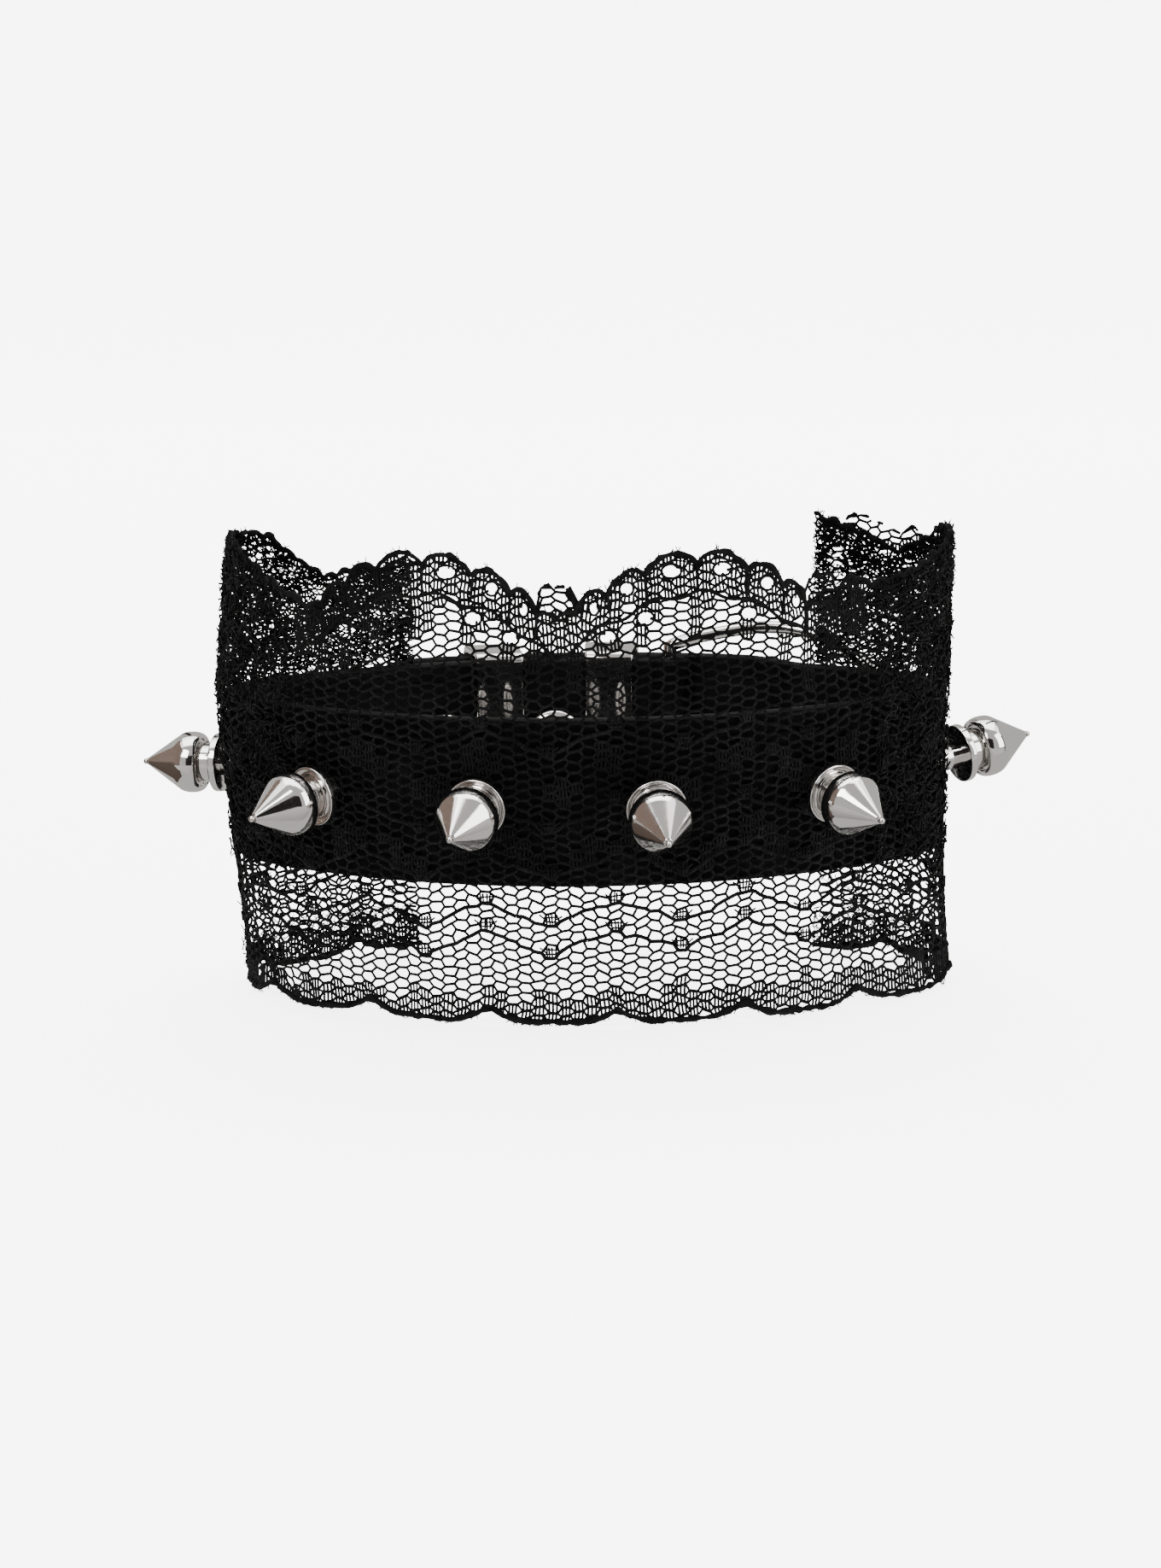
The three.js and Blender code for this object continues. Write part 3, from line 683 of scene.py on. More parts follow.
def matte_material(name, base, scale):
    """A matte finish for a card, with a little unevenness in its roughness."""
    material, tree, shader, place = new_material(name, {"Specular IOR Level": 0.0})
    tree.links.new(remap(tree, noise(tree, place, scale), 0.3, 0.7, 0.9, 1.0), shader.inputs["Roughness"])
    shader.inputs["Base Color"].default_value = (*base, 1)
    return material


def leather_material(name):
    """Black leather: faded patches, a painted highlight in a paler colour on the upward faces where the mask
    says so, and a pebbled grain.
    """
    base = tuple(bpy.context.scene.cuff_finish.leather)
    material, tree, shader, place = new_material(name, {"Specular IOR Level": 0.04})
    patches = uneven(tree, place, 90.0, 420.0)
    grain = grouped(tree, "leather grain", place, {"Scale": 1250.0}).outputs["Height"]
    faded = tuple(min(1, 2.2 * c + 0.0006) for c in base)
    factor = remap(tree, patches, 0.4, 0.68, 0, 1)
    # Painted highlight: the edge mask lays a paler colour on the strap's upward faces, for the light from
    # above.
    edge = add_node(tree, "ShaderNodeAttribute", attribute_name="edge").outputs["Fac"]
    painted_highlight = add_node(tree, "ShaderNodeMix", data_type="RGBA")
    # The paler colour of the painted highlight.
    painted_highlight.inputs["B"].default_value = (0.005, 0.005, 0.0048, 1)
    tree.links.new(edge, painted_highlight.inputs["Factor"])
    tree.links.new(two_colours(tree, factor, base, faded), painted_highlight.inputs["A"])
    tree.links.new(painted_highlight.outputs["Result"], shader.inputs["Base Color"])
    tree.links.new(remap(tree, patches, 0.3, 0.7, 0.6, 0.44), shader.inputs["Roughness"])
    bump(tree, grain, shader, 0.35, 0.00012)
    return material


def thread_material(name):
    """Black thread: lighter patches, and fine strands as a wave pattern."""
    base = tuple(bpy.context.scene.cuff_finish.thread)
    material, tree, shader, place = new_material(
        name, {"Specular IOR Level": 0.05, "Sheen Weight": 0.01, "Sheen Roughness": 0.4}
    )
    patches = uneven(tree, place, 260.0, 1800.0)
    lighter = tuple(min(1, 2.2 * c + 0.001) for c in base)
    factor = remap(tree, patches, 0.4, 0.7, 0, 1)
    tree.links.new(two_colours(tree, factor, base, lighter), shader.inputs["Base Color"])
    tree.links.new(remap(tree, patches, 0.3, 0.7, 0.6, 0.85), shader.inputs["Roughness"])
    strands = add_node(tree, "ShaderNodeTexWave", {"Scale": 900.0, "Distortion": 3.0, "Detail": 1.0})
    tree.links.new(place, strands.inputs["Vector"])
    bump(tree, strands.outputs["Fac"], shader, 0.3, 0.00005)
    return material


def nickel_material(name):
    """Polished nickel: slightly pink and duller patches."""
    base = tuple(bpy.context.scene.cuff_finish.nickel)
    material, tree, shader, place = new_material(name, {"Metallic": 1.0})
    patches = uneven(tree, place, 260.0, 1500.0)
    pink = (base[0], base[1] * 0.93, base[2] * 0.92)
    factor = remap(tree, patches, 0.5, 0.72, 0, 1)
    tree.links.new(two_colours(tree, factor, base, pink), shader.inputs["Base Color"])
    tree.links.new(remap(tree, patches, 0.4, 0.75, 0.05, 0.17), shader.inputs["Roughness"])
    bump(tree, patches, shader, 0.05, 0.0001)
    return material


# Strap


def strap_profile(size, count):
    """Outline across the strap as (height from its middle, depth): flat faces with a stitch line pressed
    near each edge as a bell curve, and edges rounded as half ovals, flatter than the wall."""
    half, wall = size.strap_height / 2, size.strap_wall
    edge = 0.4
    flat = np.linspace(-(half - edge), half - edge, count)
    turn = np.linspace(0, np.pi, 9)[1:-1]
    line = half - size.stitch_inset
    press = 0.16 * np.exp(-(((np.abs(flat) - line) / 0.45) ** 2))
    oval = as_rows(half - edge + edge * np.sin(turn), wall / 2 * np.cos(turn))
    middle = [0, -wall / 2]
    outer, inner = as_rows(flat, -press), as_rows(flat[::-1], -wall + press[::-1])
    return np.concatenate([outer, middle + oval, inner, middle - oval])


def strap_point(plan, along, height, depth):
    """Place in the strap: the plan, plus the tongue's rise and the lean at that height, less the depth."""
    share = (height + plan.size.strap_height / 2) / plan.size.strap_height
    top, foot = lean_at(plan, along, TOP), lean_at(plan, along, FOOT)
    out = tongue_rise(plan, along) + foot + (top - foot) * share + depth
    return wall_point(plan, along, out, plan.middle + height)


def strap_shell(plan):
    """The strap from its end at the bar round to the tongue's tip, as its profile carried along the plan;
    the tip's height falls as a cosine over its length."""
    size = plan.size
    profile = strap_profile(size, count=34)
    start = plan.tip - size.tip_length
    body = np.arange(plan.bar_at, start, 1.1)
    angle = np.linspace(0, 0.985 * np.pi / 2, 16)
    along = np.concatenate([body, start + size.tip_length * np.sin(angle)])
    short = np.concatenate([np.ones(len(body)), np.cos(angle)])
    points = strap_point(plan, along[:, None], profile[:, 0] * short[:, None], profile[:, 1])
    count = len(profile)
    first, last = points[0].mean(0), points[-1].mean(0)
    j, k = ring_steps(count)
    n = len(along) * count
    caps = [as_rows(n, j, k), as_rows(n + 1, n - count + k, n - count + j)]
    faces = [grid_faces(len(along), count)[:, ::-1], *caps]
    return np.concatenate([points.reshape(-1, 3), [first, last]]), faces


def mark_painted_highlight(piece):
    """Writes a painted highlight on the strap as a mask: full where a face looks up, for the light from
    above, a little uneven along the strap, and none on its walls or on faces that look down.
    """
    mesh = piece.data
    normal, place = np.zeros((2, 3 * len(mesh.vertices)))
    mesh.vertex_normals.foreach_get("vector", normal)
    mesh.vertices.foreach_get("co", place)
    up = normal.reshape(-1, 3)[:, 2]
    place = place.reshape(-1, 3) / MM
    # Painted highlight on the upward faces, a little uneven along the strap.
    highlight_unevenness = 0.75 + 0.25 * np.sin(place[:, 0] * 0.9) * np.sin(place[:, 1] * 0.7 + 1)
    mesh.attributes.new("edge", "FLOAT", "POINT").data.foreach_set("value", smooth(up, 0.75, 1) * highlight_unevenness)


def fold_shell(plan):
    """The strap's end folded round the bar: a ring of leather as high as the strap, with edges rounded as
    half ovals, carried round a circle."""
    inner, outer = plan.buckle.wire + GAP, plan.roll
    half, edge = plan.size.strap_height / 2, 0.45
    thick = (outer - inner) / 2
    turn = np.linspace(0, np.pi, 7)
    top = as_rows((inner + outer) / 2 + thick * np.cos(turn), half - edge + edge * np.sin(turn))
    ring = np.concatenate([top, top[::-1] * [1, -1]])
    angle = ring_angles(40)[:, None]
    x, y, z = wall_point(plan, plan.bar_at, -plan.size.strap_wall / 2, plan.middle)
    points = as_rows(x + ring[:, 0] * np.cos(angle), y + ring[:, 0] * np.sin(angle), z + ring[:, 1])
    return points.reshape(-1, 3), [grid_faces(len(angle), len(ring), wrap_rows=True)]


def cut_away(piece, cutters):
    """Cuts closed shells out of a piece, and leaves no modifier on it."""
    points, faces = join_shells(cutters)
    mesh = bpy.data.meshes.new("cutter")
    mesh.from_pydata((points * MM).tolist(), [], [f for part in faces for f in part.tolist()])
    cutter = bpy.data.objects.new("cutter", mesh)
    bpy.context.scene.collection.objects.link(cutter)
    modifier = piece.modifiers.new("cut", "BOOLEAN")
    modifier.operation, modifier.solver, modifier.object = "DIFFERENCE", "EXACT", cutter
    bpy.context.view_layer.update()
    found = bpy.data.meshes.new_from_object(piece.evaluated_get(bpy.context.evaluated_depsgraph_get()))
    piece.modifiers.clear()
    old = piece.data
    piece.data = found
    bpy.data.objects.remove(cutter)
    for spare in (old, mesh):
        bpy.data.meshes.remove(spare)
    if not len(found.polygons):
        raise RuntimeError(f"nothing is left of {piece.name}")
    found.name = piece.name


def hole_shell(plan, along, out, wide, tall, deep):
    """A punch through the wall: a rounded slot's outline, wide along the strap and tall up it, two half
    circles with straight runs between them."""
    angle = ring_angles(32)
    straight = max(0.0, (wide - tall) / 2)
    u = tall / 2 * np.cos(angle) + straight * np.sign(np.round(np.cos(angle), 6))
    v = tall / 2 * np.sin(angle)
    centre = wall_point(plan, along, out, plan.middle)
    outward = normal_at(plan, along)
    heading = np.array([-outward[1], outward[0], 0])
    flat = centre + u[:, None] * heading + v[:, None] * np.array([0, 0, 1.0])
    points = np.concatenate([flat - outward * deep / 2, flat + outward * deep / 2])
    j, k = ring_steps(len(angle))
    back = len(angle) + j
    return points, [as_rows(j, k, len(angle) + k, back), j[None, ::-1], back[None, :]]


def tongue_holes(plan):
    """The slot that the prong goes through and the holes past it."""
    hole_pitch, round_hole = 10, (3.0, 3.0)
    cuts = []
    for i, (wide, tall) in enumerate([(7.5, 1.9)] + [round_hole] * 3):
        along = plan.crossing + i * hole_pitch
        out = float(tongue_rise(plan, along)) - plan.size.strap_wall / 2
        cuts.append(hole_shell(plan, along, out, wide, tall, 7))
    return cuts


def stitch_shell(plan):
    """The stitches: short threads laid in the pressed lines, bowed as a parabola so that their ends dive
    into the leather."""
    size = plan.size
    along = np.arange(plan.bar_at + 5, plan.tip - size.tip_length, size.stitch_pitch)
    line = size.strap_height / 2 - size.stitch_inset
    step = np.linspace(-0.5, 0.5, 6)
    shells = []
    for face in (0, 1):
        for row in (-line, line):
            place = along[:, None] + step * size.stitch_pitch * 0.8
            bow = 0.12 - 1.3 * step**2
            depth = -0.14 + bow if face == 0 else -size.strap_wall + 0.14 - bow
            points = strap_point(plan, place, row, np.broadcast_to(depth, place.shape))
            for one, s in zip(points, along):
                shells.append(tube_shell(one, 0.15, normal_at(plan, np.full(6, s)), 6))
    return join_shells(shells)


# Lace


def row_height(plan, row):
    """Height of a row of the net, by straight runs: close rows in the border, wider ones in the net, and
    close ones in the fans."""
    start, low, high, end = 0.35, 4.5, 45.3, 56.8
    border_rows, fan_rows = 4, 12
    net_rows = border_rows + (high - low) / plan.lace.mesh
    return np.interp(row, [0, border_rows, net_rows, net_rows + fan_rows], [start, low, high, end])


def dot_steps(plan, x):
    """Columns from the nearest notch, from 0 to 5: each step the dots' line falls by half a row."""
    pitch = plan.lace.scallop
    return np.abs(np.mod((x - plan.notch) / pitch + 0.5, 1) - 0.5) / COLUMN


def dot_places(plan):
    """Middles of the dots of the net, which step down and up between the notches in lines."""
    pitch = plan.lace.scallop
    high = plan.notch + pitch * np.arange(-7, 7)
    spots = [(high, row) for row in DOT_ROWS] + [(high + pitch / 2, row - 2.5) for row in DOT_ROWS]
    return np.concatenate([as_rows(x, row_height(plan, row)) for x, row in spots])


def eyelets(plan):
    """Middles and half sizes of the eyelets, as (along, height, half wide, half tall): one under each fan,
    and a lower one under each dip between two fans of a side."""
    pitch = plan.lace.scallop
    breaks = np.array((0, *FAN_BREAKS))
    shares = (breaks[:-1] + breaks[1:]) / 2
    groups = fan_middles(plan)
    along = (groups[:, None] + np.concatenate([-shares, shares]) * pitch).ravel()
    wide = np.tile(np.concatenate([np.diff(breaks)] * 2) * pitch * 0.175, len(groups))
    first = as_rows(along, lace_top(plan, along) - 2.1, wide, 0.72)
    dips = breaks[1:3]
    along = (groups[:, None] + np.concatenate([-dips, dips]) * pitch).ravel()
    second = as_rows(along, dip_height(plan, along) - 4.5, 0.85, 0.75)
    found = np.concatenate([first, second])
    return found[np.abs(found[:, 0]) < FANS_TO - 0.5]


def in_any(places, ovals, grow=1.0):
    """Whether each place lies in one of the ovals."""
    dx = (places[:, None, 0] - ovals[None, :, 0]) / (ovals[None, :, 2] * grow)
    dy = (places[:, None, 1] - ovals[None, :, 1]) / (ovals[None, :, 3] * grow)
    return (dx**2 + dy**2 < 1).any(1)


def net_top(plan, along):
    """Top of the net: the lace's outline, and higher as a loose edge across the notch between two groups
    and over the slanting right end."""
    share, top = fan_share(plan, along), lace_top(plan, along)
    loose = plan.strap_top + 14.8 + 0.35 * np.sin(along * 4.4)
    found = np.where((share > 0.875) & (np.abs(along) < 30), np.maximum(top, loose), top)
    over = smooth(along, 55.5, 57.5) * (1 - smooth(along, 64.5, 66.5))
    return np.minimum(found + 2 * over, np.maximum(top, plan.strap_top + 18))


def cloth_mask(plan, x, y):
    """Where the lace is worked solid: the hem's border, the fans, and patches over the strap."""
    pitch = plan.lace.scallop
    border = y < 3.7 + 0.7 * np.cos(2 * np.pi * (x - plan.notch) / (pitch / 2)) + 0.5 * np.sin(x * 3.1)
    across = fan_across(fan_share(plan, x))
    depth = 6.4 + 2.2 * np.cos(2 * np.pi * across) + 0.6 * np.sin(x * 2.3)
    depth = np.where((x > 33) | (x < -34), 0.8, depth)
    top = lace_top(plan, x)
    fans = (y > top - depth) & (y < top)
    wave = np.sin(2 * np.pi * x / pitch) * 2.2
    leaf = np.sin((y - wave) * 0.72) + 0.45 * np.sin(x * 0.93 + y * 0.4)
    patches = (leaf > 0.72) & (y > 17) & (y < 33.5)
    return border | fans | patches


def net_drift(x, y):
    """How far the rows of the net wander up or down at a place: a sum of sines, long waves and short."""
    waves = 0.5 * np.sin(x * 0.05) + 0.2 * np.sin(x * 0.61 + y * 0.23)
    return waves + 0.14 * np.sin(x * 1.7 - y * 0.9) + 0.08 * np.sin(x * 2.9 + y * 1.7)


def trail_fall(plan, x):
    """Which way the trails fall: 1 right of a notch, -1 left of it, and 0 at their turning points."""
    steps = dot_steps(plan, x)
    side = np.sign(np.mod((x - plan.notch) / plan.lace.scallop + 0.5, 1) - 0.5)
    return np.where((steps > 0.5) & (steps < 4.5), side, 0)


def on_trail(plan, x, level):
    """Flat edges that carry the doubled thread: it leaves a dot and drops half a row at each column."""
    steps = np.round(dot_steps(plan, x))
    found = np.zeros(x.shape, bool)
    for row in DOT_ROWS:
        found |= np.abs(level - (row - 0.5 - 0.5 * steps)) < 0.1
    return found


def net_threads(plan):
    """The net: columns of flat edges joined by slanting ones, half a row apart from column to column.

    Returns the starts, ends and radii of its threads and of the upright bars that fill worked cells.
    """
    lace = plan.lace
    rng = np.random.default_rng(7)
    column = COLUMN * lace.scallop
    edge = FLAT_EDGE * column
    number = np.arange(
        np.ceil((-plan.lace_left - plan.notch) / column + 0.3),
        np.floor((plan.lace_right - plan.notch) / column - 0.3) + 1,
    ).astype(int)
    odd = number % 2
    level = np.arange(52) + 0.5 * odd[:, None]
    x = plan.notch + number[:, None] * column + np.zeros(level.shape)
    y = row_height(plan, level)
    dots = dot_places(plan)

    def settled(px, py):
        """Nodes moved by the pull of the dots, by slow drifts and by a little unevenness."""
        for dx, dy in dots:
            off = py - dy
            py = py + 0.3 * np.tanh(off / 0.3) * np.exp(-np.abs(off) / 1.4 - ((px - dx) / 1.5) ** 2)
        drift = net_drift(px, py)
        px = px + 0.12 * np.sin(py * 0.8 + px * 0.2) + rng.normal(0, 0.06, px.shape)
        py = py + drift + rng.normal(0, 0.065, px.shape)
        py = np.clip(py, lace_bottom(plan, px) + 0.34, net_top(plan, px) - 0.12)
        return as_rows(px, py, rng.normal(0.28, 0.03, px.shape))

    trail = on_trail(plan, x, level)
    tilt = 0.15 * trail * trail_fall(plan, x)
    left, right = settled(x - edge / 2, y + tilt), settled(x + edge / 2, y - tilt)
    starts, ends, radii = [], [], []

    def lay(a, b, radius):
        """Keeps the threads from a to b, but for those that are far too short or too long."""
        a, b = a.reshape(-1, 3), b.reshape(-1, 3)
        radius = np.broadcast_to(radius, len(a))
        long = np.linalg.norm((b - a)[:, :2], axis=1)
        keep = (long > 0.22) & (long < 2.6)
        starts.append(a[keep])
        ends.append(b[keep])
        radii.append(radius[keep])

    filled = cloth_mask(plan, x[:, :-1], (y[:, :-1] + y[:, 1:]) / 2)
    near = np.zeros(left.shape[:2], bool)
    near[:, :-1] |= filled
    near[:, 1:] |= filled
    lay(left, right, (np.where(near, 1.3, 1.1) * np.where(trail, 1.35, 1)).ravel() * lace.thread)
    level_rows, but_last, but_first = slice(None), slice(-1), slice(1, None)
    for i in range(len(number) - 1):
        if odd[i]:
            joins = ((but_last, but_first), (level_rows, level_rows))
        else:
            joins = ((level_rows, level_rows), (but_first, but_last))
        for here, there in joins:
            doubled = trail[i, here] & trail[i + 1, there]
            lay(right[i, here], left[i + 1, there], np.where(doubled, 1.5, 1) * lace.thread)

    low_left, low_right = left[:, :-1][filled], right[:, :-1][filled]
    high_left, high_right = left[:, 1:][filled], right[:, 1:][filled]
    for t in (0.08, 0.5, 0.92):
        bars = low_left * (1 - t) + low_right * t, high_left * (1 - t) + high_right * t
        low, high = (bar * [1, 1, 0] + [0, 0, THREAD_OUT] for bar in bars)
        lay(low, high, 0.9 * lace.thread)
    start, end, radius = np.concatenate(starts), np.concatenate(ends), np.concatenate(radii)
    middle = (start + end) / 2
    keep = ~in_any(middle, eyelets(plan), 1.05)
    keep &= middle[:, 1] < net_top(plan, middle[:, 0]) - 0.15
    return start[keep], end[keep], radius[keep]


def dot_threads(plan):
    """The threads of the dots, as starts, ends and radii: four upright bars, two level ones across them and
    a short wing at each side, all a little uneven."""
    rng = np.random.default_rng(5)
    dots = dot_places(plan)
    dots = dots[(dots[:, 0] > -plan.lace_left + 2) & (dots[:, 0] < plan.lace_right - 2)]
    dots = as_rows(dots[:, 0], dots[:, 1] + net_drift(*dots.T), 0.45)
    bars = [((x, -0.62), (x * 1.15, 0.58)) for x in (-0.45, -0.16, 0.14, 0.44)]
    levels = [((-0.75, z), (0.75, z + 0.05)) for z in (-0.3, 0.22)]
    wings = [((side * 0.5, -0.1), (side * 1.25, 0.4)) for side in (-1, 1)]
    starts, ends = [], []
    for low, high in bars + levels + wings:
        starts.append(dots + [*low, 0] + rng.normal(0, 0.05, dots.shape))
        ends.append(dots + [*high, 0] + rng.normal(0, 0.05, dots.shape))
    start, end = np.concatenate(starts), np.concatenate(ends)
    return start, end, np.full(len(start), 0.72 * plan.lace.thread)


def gimp_shells(plan):
    """The thick threads, carried along the outlines: the lumpy edges of the hem and the fans, the ribs
    between the fans, the two lines under their rims, and the oval rings of the eyelets."""
    lace, rng = plan.lace, np.random.default_rng(11)
    along = np.arange(-plan.lace_left, plan.lace_right, 0.2)
    knots = np.arange(-120, 120, 0.55)
    wander = np.interp(along, knots, rng.normal(0, 1, len(knots)))
    thickest = 1.5
    lumps = np.clip(1 + 0.3 * wander, 0.6, thickest)
    hem = as_rows(along, lace_bottom(plan, along) + 0.05 + 1.15 * lace.gimp * thickest, THREAD_OUT)
    top = as_rows(along, lace_top(plan, along) - 0.22 + 0.08 * wander, THREAD_OUT)
    shells = [path_shell(plan, hem, 1.15 * lace.gimp * lumps), path_shell(plan, top, lace.gimp * lumps)]
    fans = along[np.abs(along) < FANS_TO]
    inner = as_rows(fans, lace_top(plan, fans) - 1.0, THREAD_OUT)
    shells.append(path_shell(plan, inner, 0.1, 4))
    under = as_rows(fans, dip_height(plan, fans) - 3.1 + 0.35 * np.sin(fans * 1.1), 0.35)
    shells.append(path_shell(plan, under, 0.2, 4))
    angle = ring_angles(14)
    for x, z, wide, tall in eyelets(plan):
        ring = as_rows(x + 1.08 * wide * np.cos(angle), z + 1.08 * tall * np.sin(angle), THREAD_OUT)
        shells.append(path_shell(plan, ring, 0.15, 4, closed=True))
    step = np.linspace(0, 1, 7)
    for share in (0, *FAN_BREAKS, *(-b for b in FAN_BREAKS)):
        for x in fan_middles(plan) + share * lace.scallop:
            if abs(x) <= FANS_TO - 0.5:
                lean = -0.25 * np.sign(share) * step
                rib = as_rows(x + lean, lace_top(plan, x) - 0.2 - 2.5 * step, 0.34)
                shells.append(path_shell(plan, rib, 0.24 * (1 - 0.35 * step), 5))
    return shells


def fringe_threads(plan):
    """Short whiskers along both edges and the cut ends, and the small bars under the fans' rims.

    The whiskers' places are spread evenly by chance, and they lean from upright by a bell curve.
    """
    rng = np.random.default_rng(23)
    whiskers, cut_whiskers = 420, 110
    x = rng.uniform(-plan.lace_left, plan.lace_right, whiskers)
    low = rng.random(len(x)) < 0.5
    y = np.where(low, lace_bottom(plan, x) + 0.25, lace_top(plan, x) - 0.1)
    turn = rng.normal(0, 0.7, len(x))
    long = rng.uniform(0.3, 0.75, len(x))
    lift = np.where(low, np.maximum(-0.7 * np.cos(turn) * long, 0.08 - y), np.cos(turn) * long)
    step = as_rows(np.sin(turn) * long, lift, rng.normal(0, 0.1, len(x)))
    start = as_rows(x, y, THREAD_OUT)
    cut_y = rng.uniform(1, 50, cut_whiskers)
    side = rng.random(cut_whiskers) < 0.5
    cut_x = np.where(side, -plan.lace_left + 0.4, plan.lace_right - 0.4)
    cut = as_rows(cut_x, cut_y, THREAD_OUT)
    cut_out = np.where(side, -1, 1) * rng.uniform(0.2, 0.8, cut_whiskers)
    cut_step = as_rows(cut_out, rng.normal(0, 0.3, cut_whiskers), rng.normal(0, 0.15, cut_whiskers))
    under_top = cut_y < lace_top(plan, cut_x) - 0.3
    rim_x = np.arange(-FANS_TO, FANS_TO, 0.55)
    rim = as_rows(rim_x, lace_top(plan, rim_x) - 0.3, THREAD_OUT)
    starts = np.concatenate([start, cut[under_top], rim])
    ends = np.concatenate([start + step, (cut + cut_step)[under_top], rim - [0, 0.7, 0]])
    return starts, ends, np.repeat([0.07, 0.075], [len(starts) - len(rim), len(rim)])


def crumple_threads(plan):
    """Threads of the lace's crumpled ends: short ones hatched on both slants, level and upright, along rows
    that are bent by a sine and set off by chance, and each kept by chance at its place's density."""
    rng = np.random.default_rng(31)
    starts, ends, radii = [], [], []
    for low, high, side in ((-plan.lace_left, -CRUMPLE_FROM, -1), (CRUMPLE_FROM, plan.lace_right, 1)):
        for tilt, gap in ((0.62, 0.36), (-0.62, 0.36), (0.05, 0.55), (1.45, 0.52)):
            u, v = np.meshgrid(np.arange(-45, 45, 0.95), np.arange(-45, 45, gap))
            u = u.ravel() + rng.uniform(-0.4, 0.4, u.size)
            v = v.ravel() + rng.normal(0, 0.1, v.size) + 0.3 * np.sin(u * 1.1 + v.ravel())
            middle = (low + high) / 2
            x = middle + u * np.cos(tilt) - v * np.sin(tilt)
            y = 26 + u * np.sin(tilt) + v * np.cos(tilt)
            turn = tilt + rng.normal(0, 0.28, len(x))
            half = rng.uniform(0.5, 0.75, len(x))
            keep = rng.random(len(x)) < crumple_density(plan, x, y, side)
            keep &= (x > low + 0.15) & (x < high - 0.15)
            x, y, turn, half = x[keep], y[keep], turn[keep], half[keep]
            centre = as_rows(x, y, rng.uniform(0.3, 0.8, len(x)))
            step = as_rows(half * np.cos(turn), half * np.sin(turn), rng.normal(0, 0.12, len(x)))
            starts.append(centre - step)
            ends.append(centre + step)
            radii.append(rng.uniform(0.08, 0.14, len(x)) * np.where(y < plan.size.strap_bottom, 0.7, 1))
    start, end, radius = np.concatenate(starts), np.concatenate(ends), np.concatenate(radii)
    for part in (start, end):
        part[:, 0] = np.clip(part[:, 0], -plan.lace_left, plan.lace_right)
        part[:, 1] = np.maximum(part[:, 1], lace_bottom(plan, part[:, 0]) + 0.25)
    return start, end, radius


def crumple_density(plan, x, y, side):
    """Share of the hatched threads that are kept at places of one crumpled end: most along its cut edge,
    along two slanting folds of the right end and over the slumped left end, fewer in small holes and in
    the hem, and hardly any over the strap or elsewhere below it."""
    top, strap_bottom = lace_top(plan, x), plan.size.strap_bottom
    hem_top, free_height, right_width, left_width = 5.4, 17.5, 17.0, 27.0
    up = (y - plan.strap_top) / free_height
    if side > 0:
        share = (plan.lace_right - x) / right_width
        cross = np.minimum(np.abs(up - 0.95 + 0.8 * share), np.abs(up - 0.15 - 0.75 * share))
        density = np.where(cross < 0.15, 1.0, 0.5)
        density = np.where(share > 1.15, 0.62, density)
        density = np.where(np.abs(share) < 0.11, 1.0, density)
        hole = np.sin(x * 0.9 + 1.0) * np.sin(y * 0.75 + x * 0.2) > 0.72
    else:
        share = (x + plan.lace_left) / left_width
        density = np.where(up > 0.3, 0.85, 0.75) * (1 - 0.35 * smooth(share, 0.5, 1))
        density = np.where(np.abs(share) < 0.05, 1.0, density)
        hole = np.sin(x * 0.8) * np.sin(y * 0.7 - x * 0.25) > 0.62
    density = np.where(hole, 0.12 * density, density)
    hem = (y < hem_top) & (y > lace_bottom(plan, x) + 0.3)
    middle = (y >= hem_top) & (y < strap_bottom)
    density = np.where(hem, 0.36, np.where(middle, 0.05, density))
    density = np.where((y < strap_bottom) & (np.abs(x) < 50), 0.0, density)
    density = np.where((y >= strap_bottom) & (y < plan.strap_top), 0.18, density)
    return np.where((y < top - 0.3) & (y > lace_bottom(plan, x) + 0.6), density, 0)


# Metal pieces


def spike_profile(spike):
    """Half outline of a spike, as (radius, height) from its base: a flange with a raised rim and a dished
    ring, a neck, a head with a hollow back and a rounded rim, and a straight cone that ends in a small
    ball."""
    head = 0.7 + spike.neck_length
    tip = head + 1.2 + spike.cone_length
    flange, neck, radius = spike.flange, spike.neck, spike.radius
    lower = rounded([
        (0, 0), (flange - 0.02, 0.0), (flange, 0.84), (flange - 0.3, 0.88), (flange - 0.46, 0.4),
        (neck + 0.3, 0.3), (neck, 0.55), (neck, head + 0.45), (radius - 0.85, head + 0.35),
        (radius - 0.72, head - 0.1),
    ], 0.14, 5)[:-1]
    shoulder = smooth_line([
        (radius - 0.6, head - 0.18), (radius - 0.28, head - 0.02), (radius - 0.06, head + 0.5),
        (radius, head + 1.2), (radius - 0.06, head + 1.8), (radius - 0.2, head + 2.25),
    ], 24)
    side = np.linspace((radius - 0.2, head + 2.25), (0.3, tip - 0.45), 14)[1:]
    turn = np.linspace(-0.5, np.pi / 2, 8)
    ball = as_rows(0.36 * np.cos(turn), tip - 0.36 + 0.36 * np.sin(turn))
    ball[-1, 0] = 0
    return np.concatenate([lower, shoulder, side, ball])


def spike_base(spike, turn, droop):
    """How far out a spike's base lies, and the sine of its lean: a leaning flange clears the lace."""
    rock = np.sin(np.radians(np.hypot(turn, droop)))
    return ON_LACE + rock * spike.flange, rock


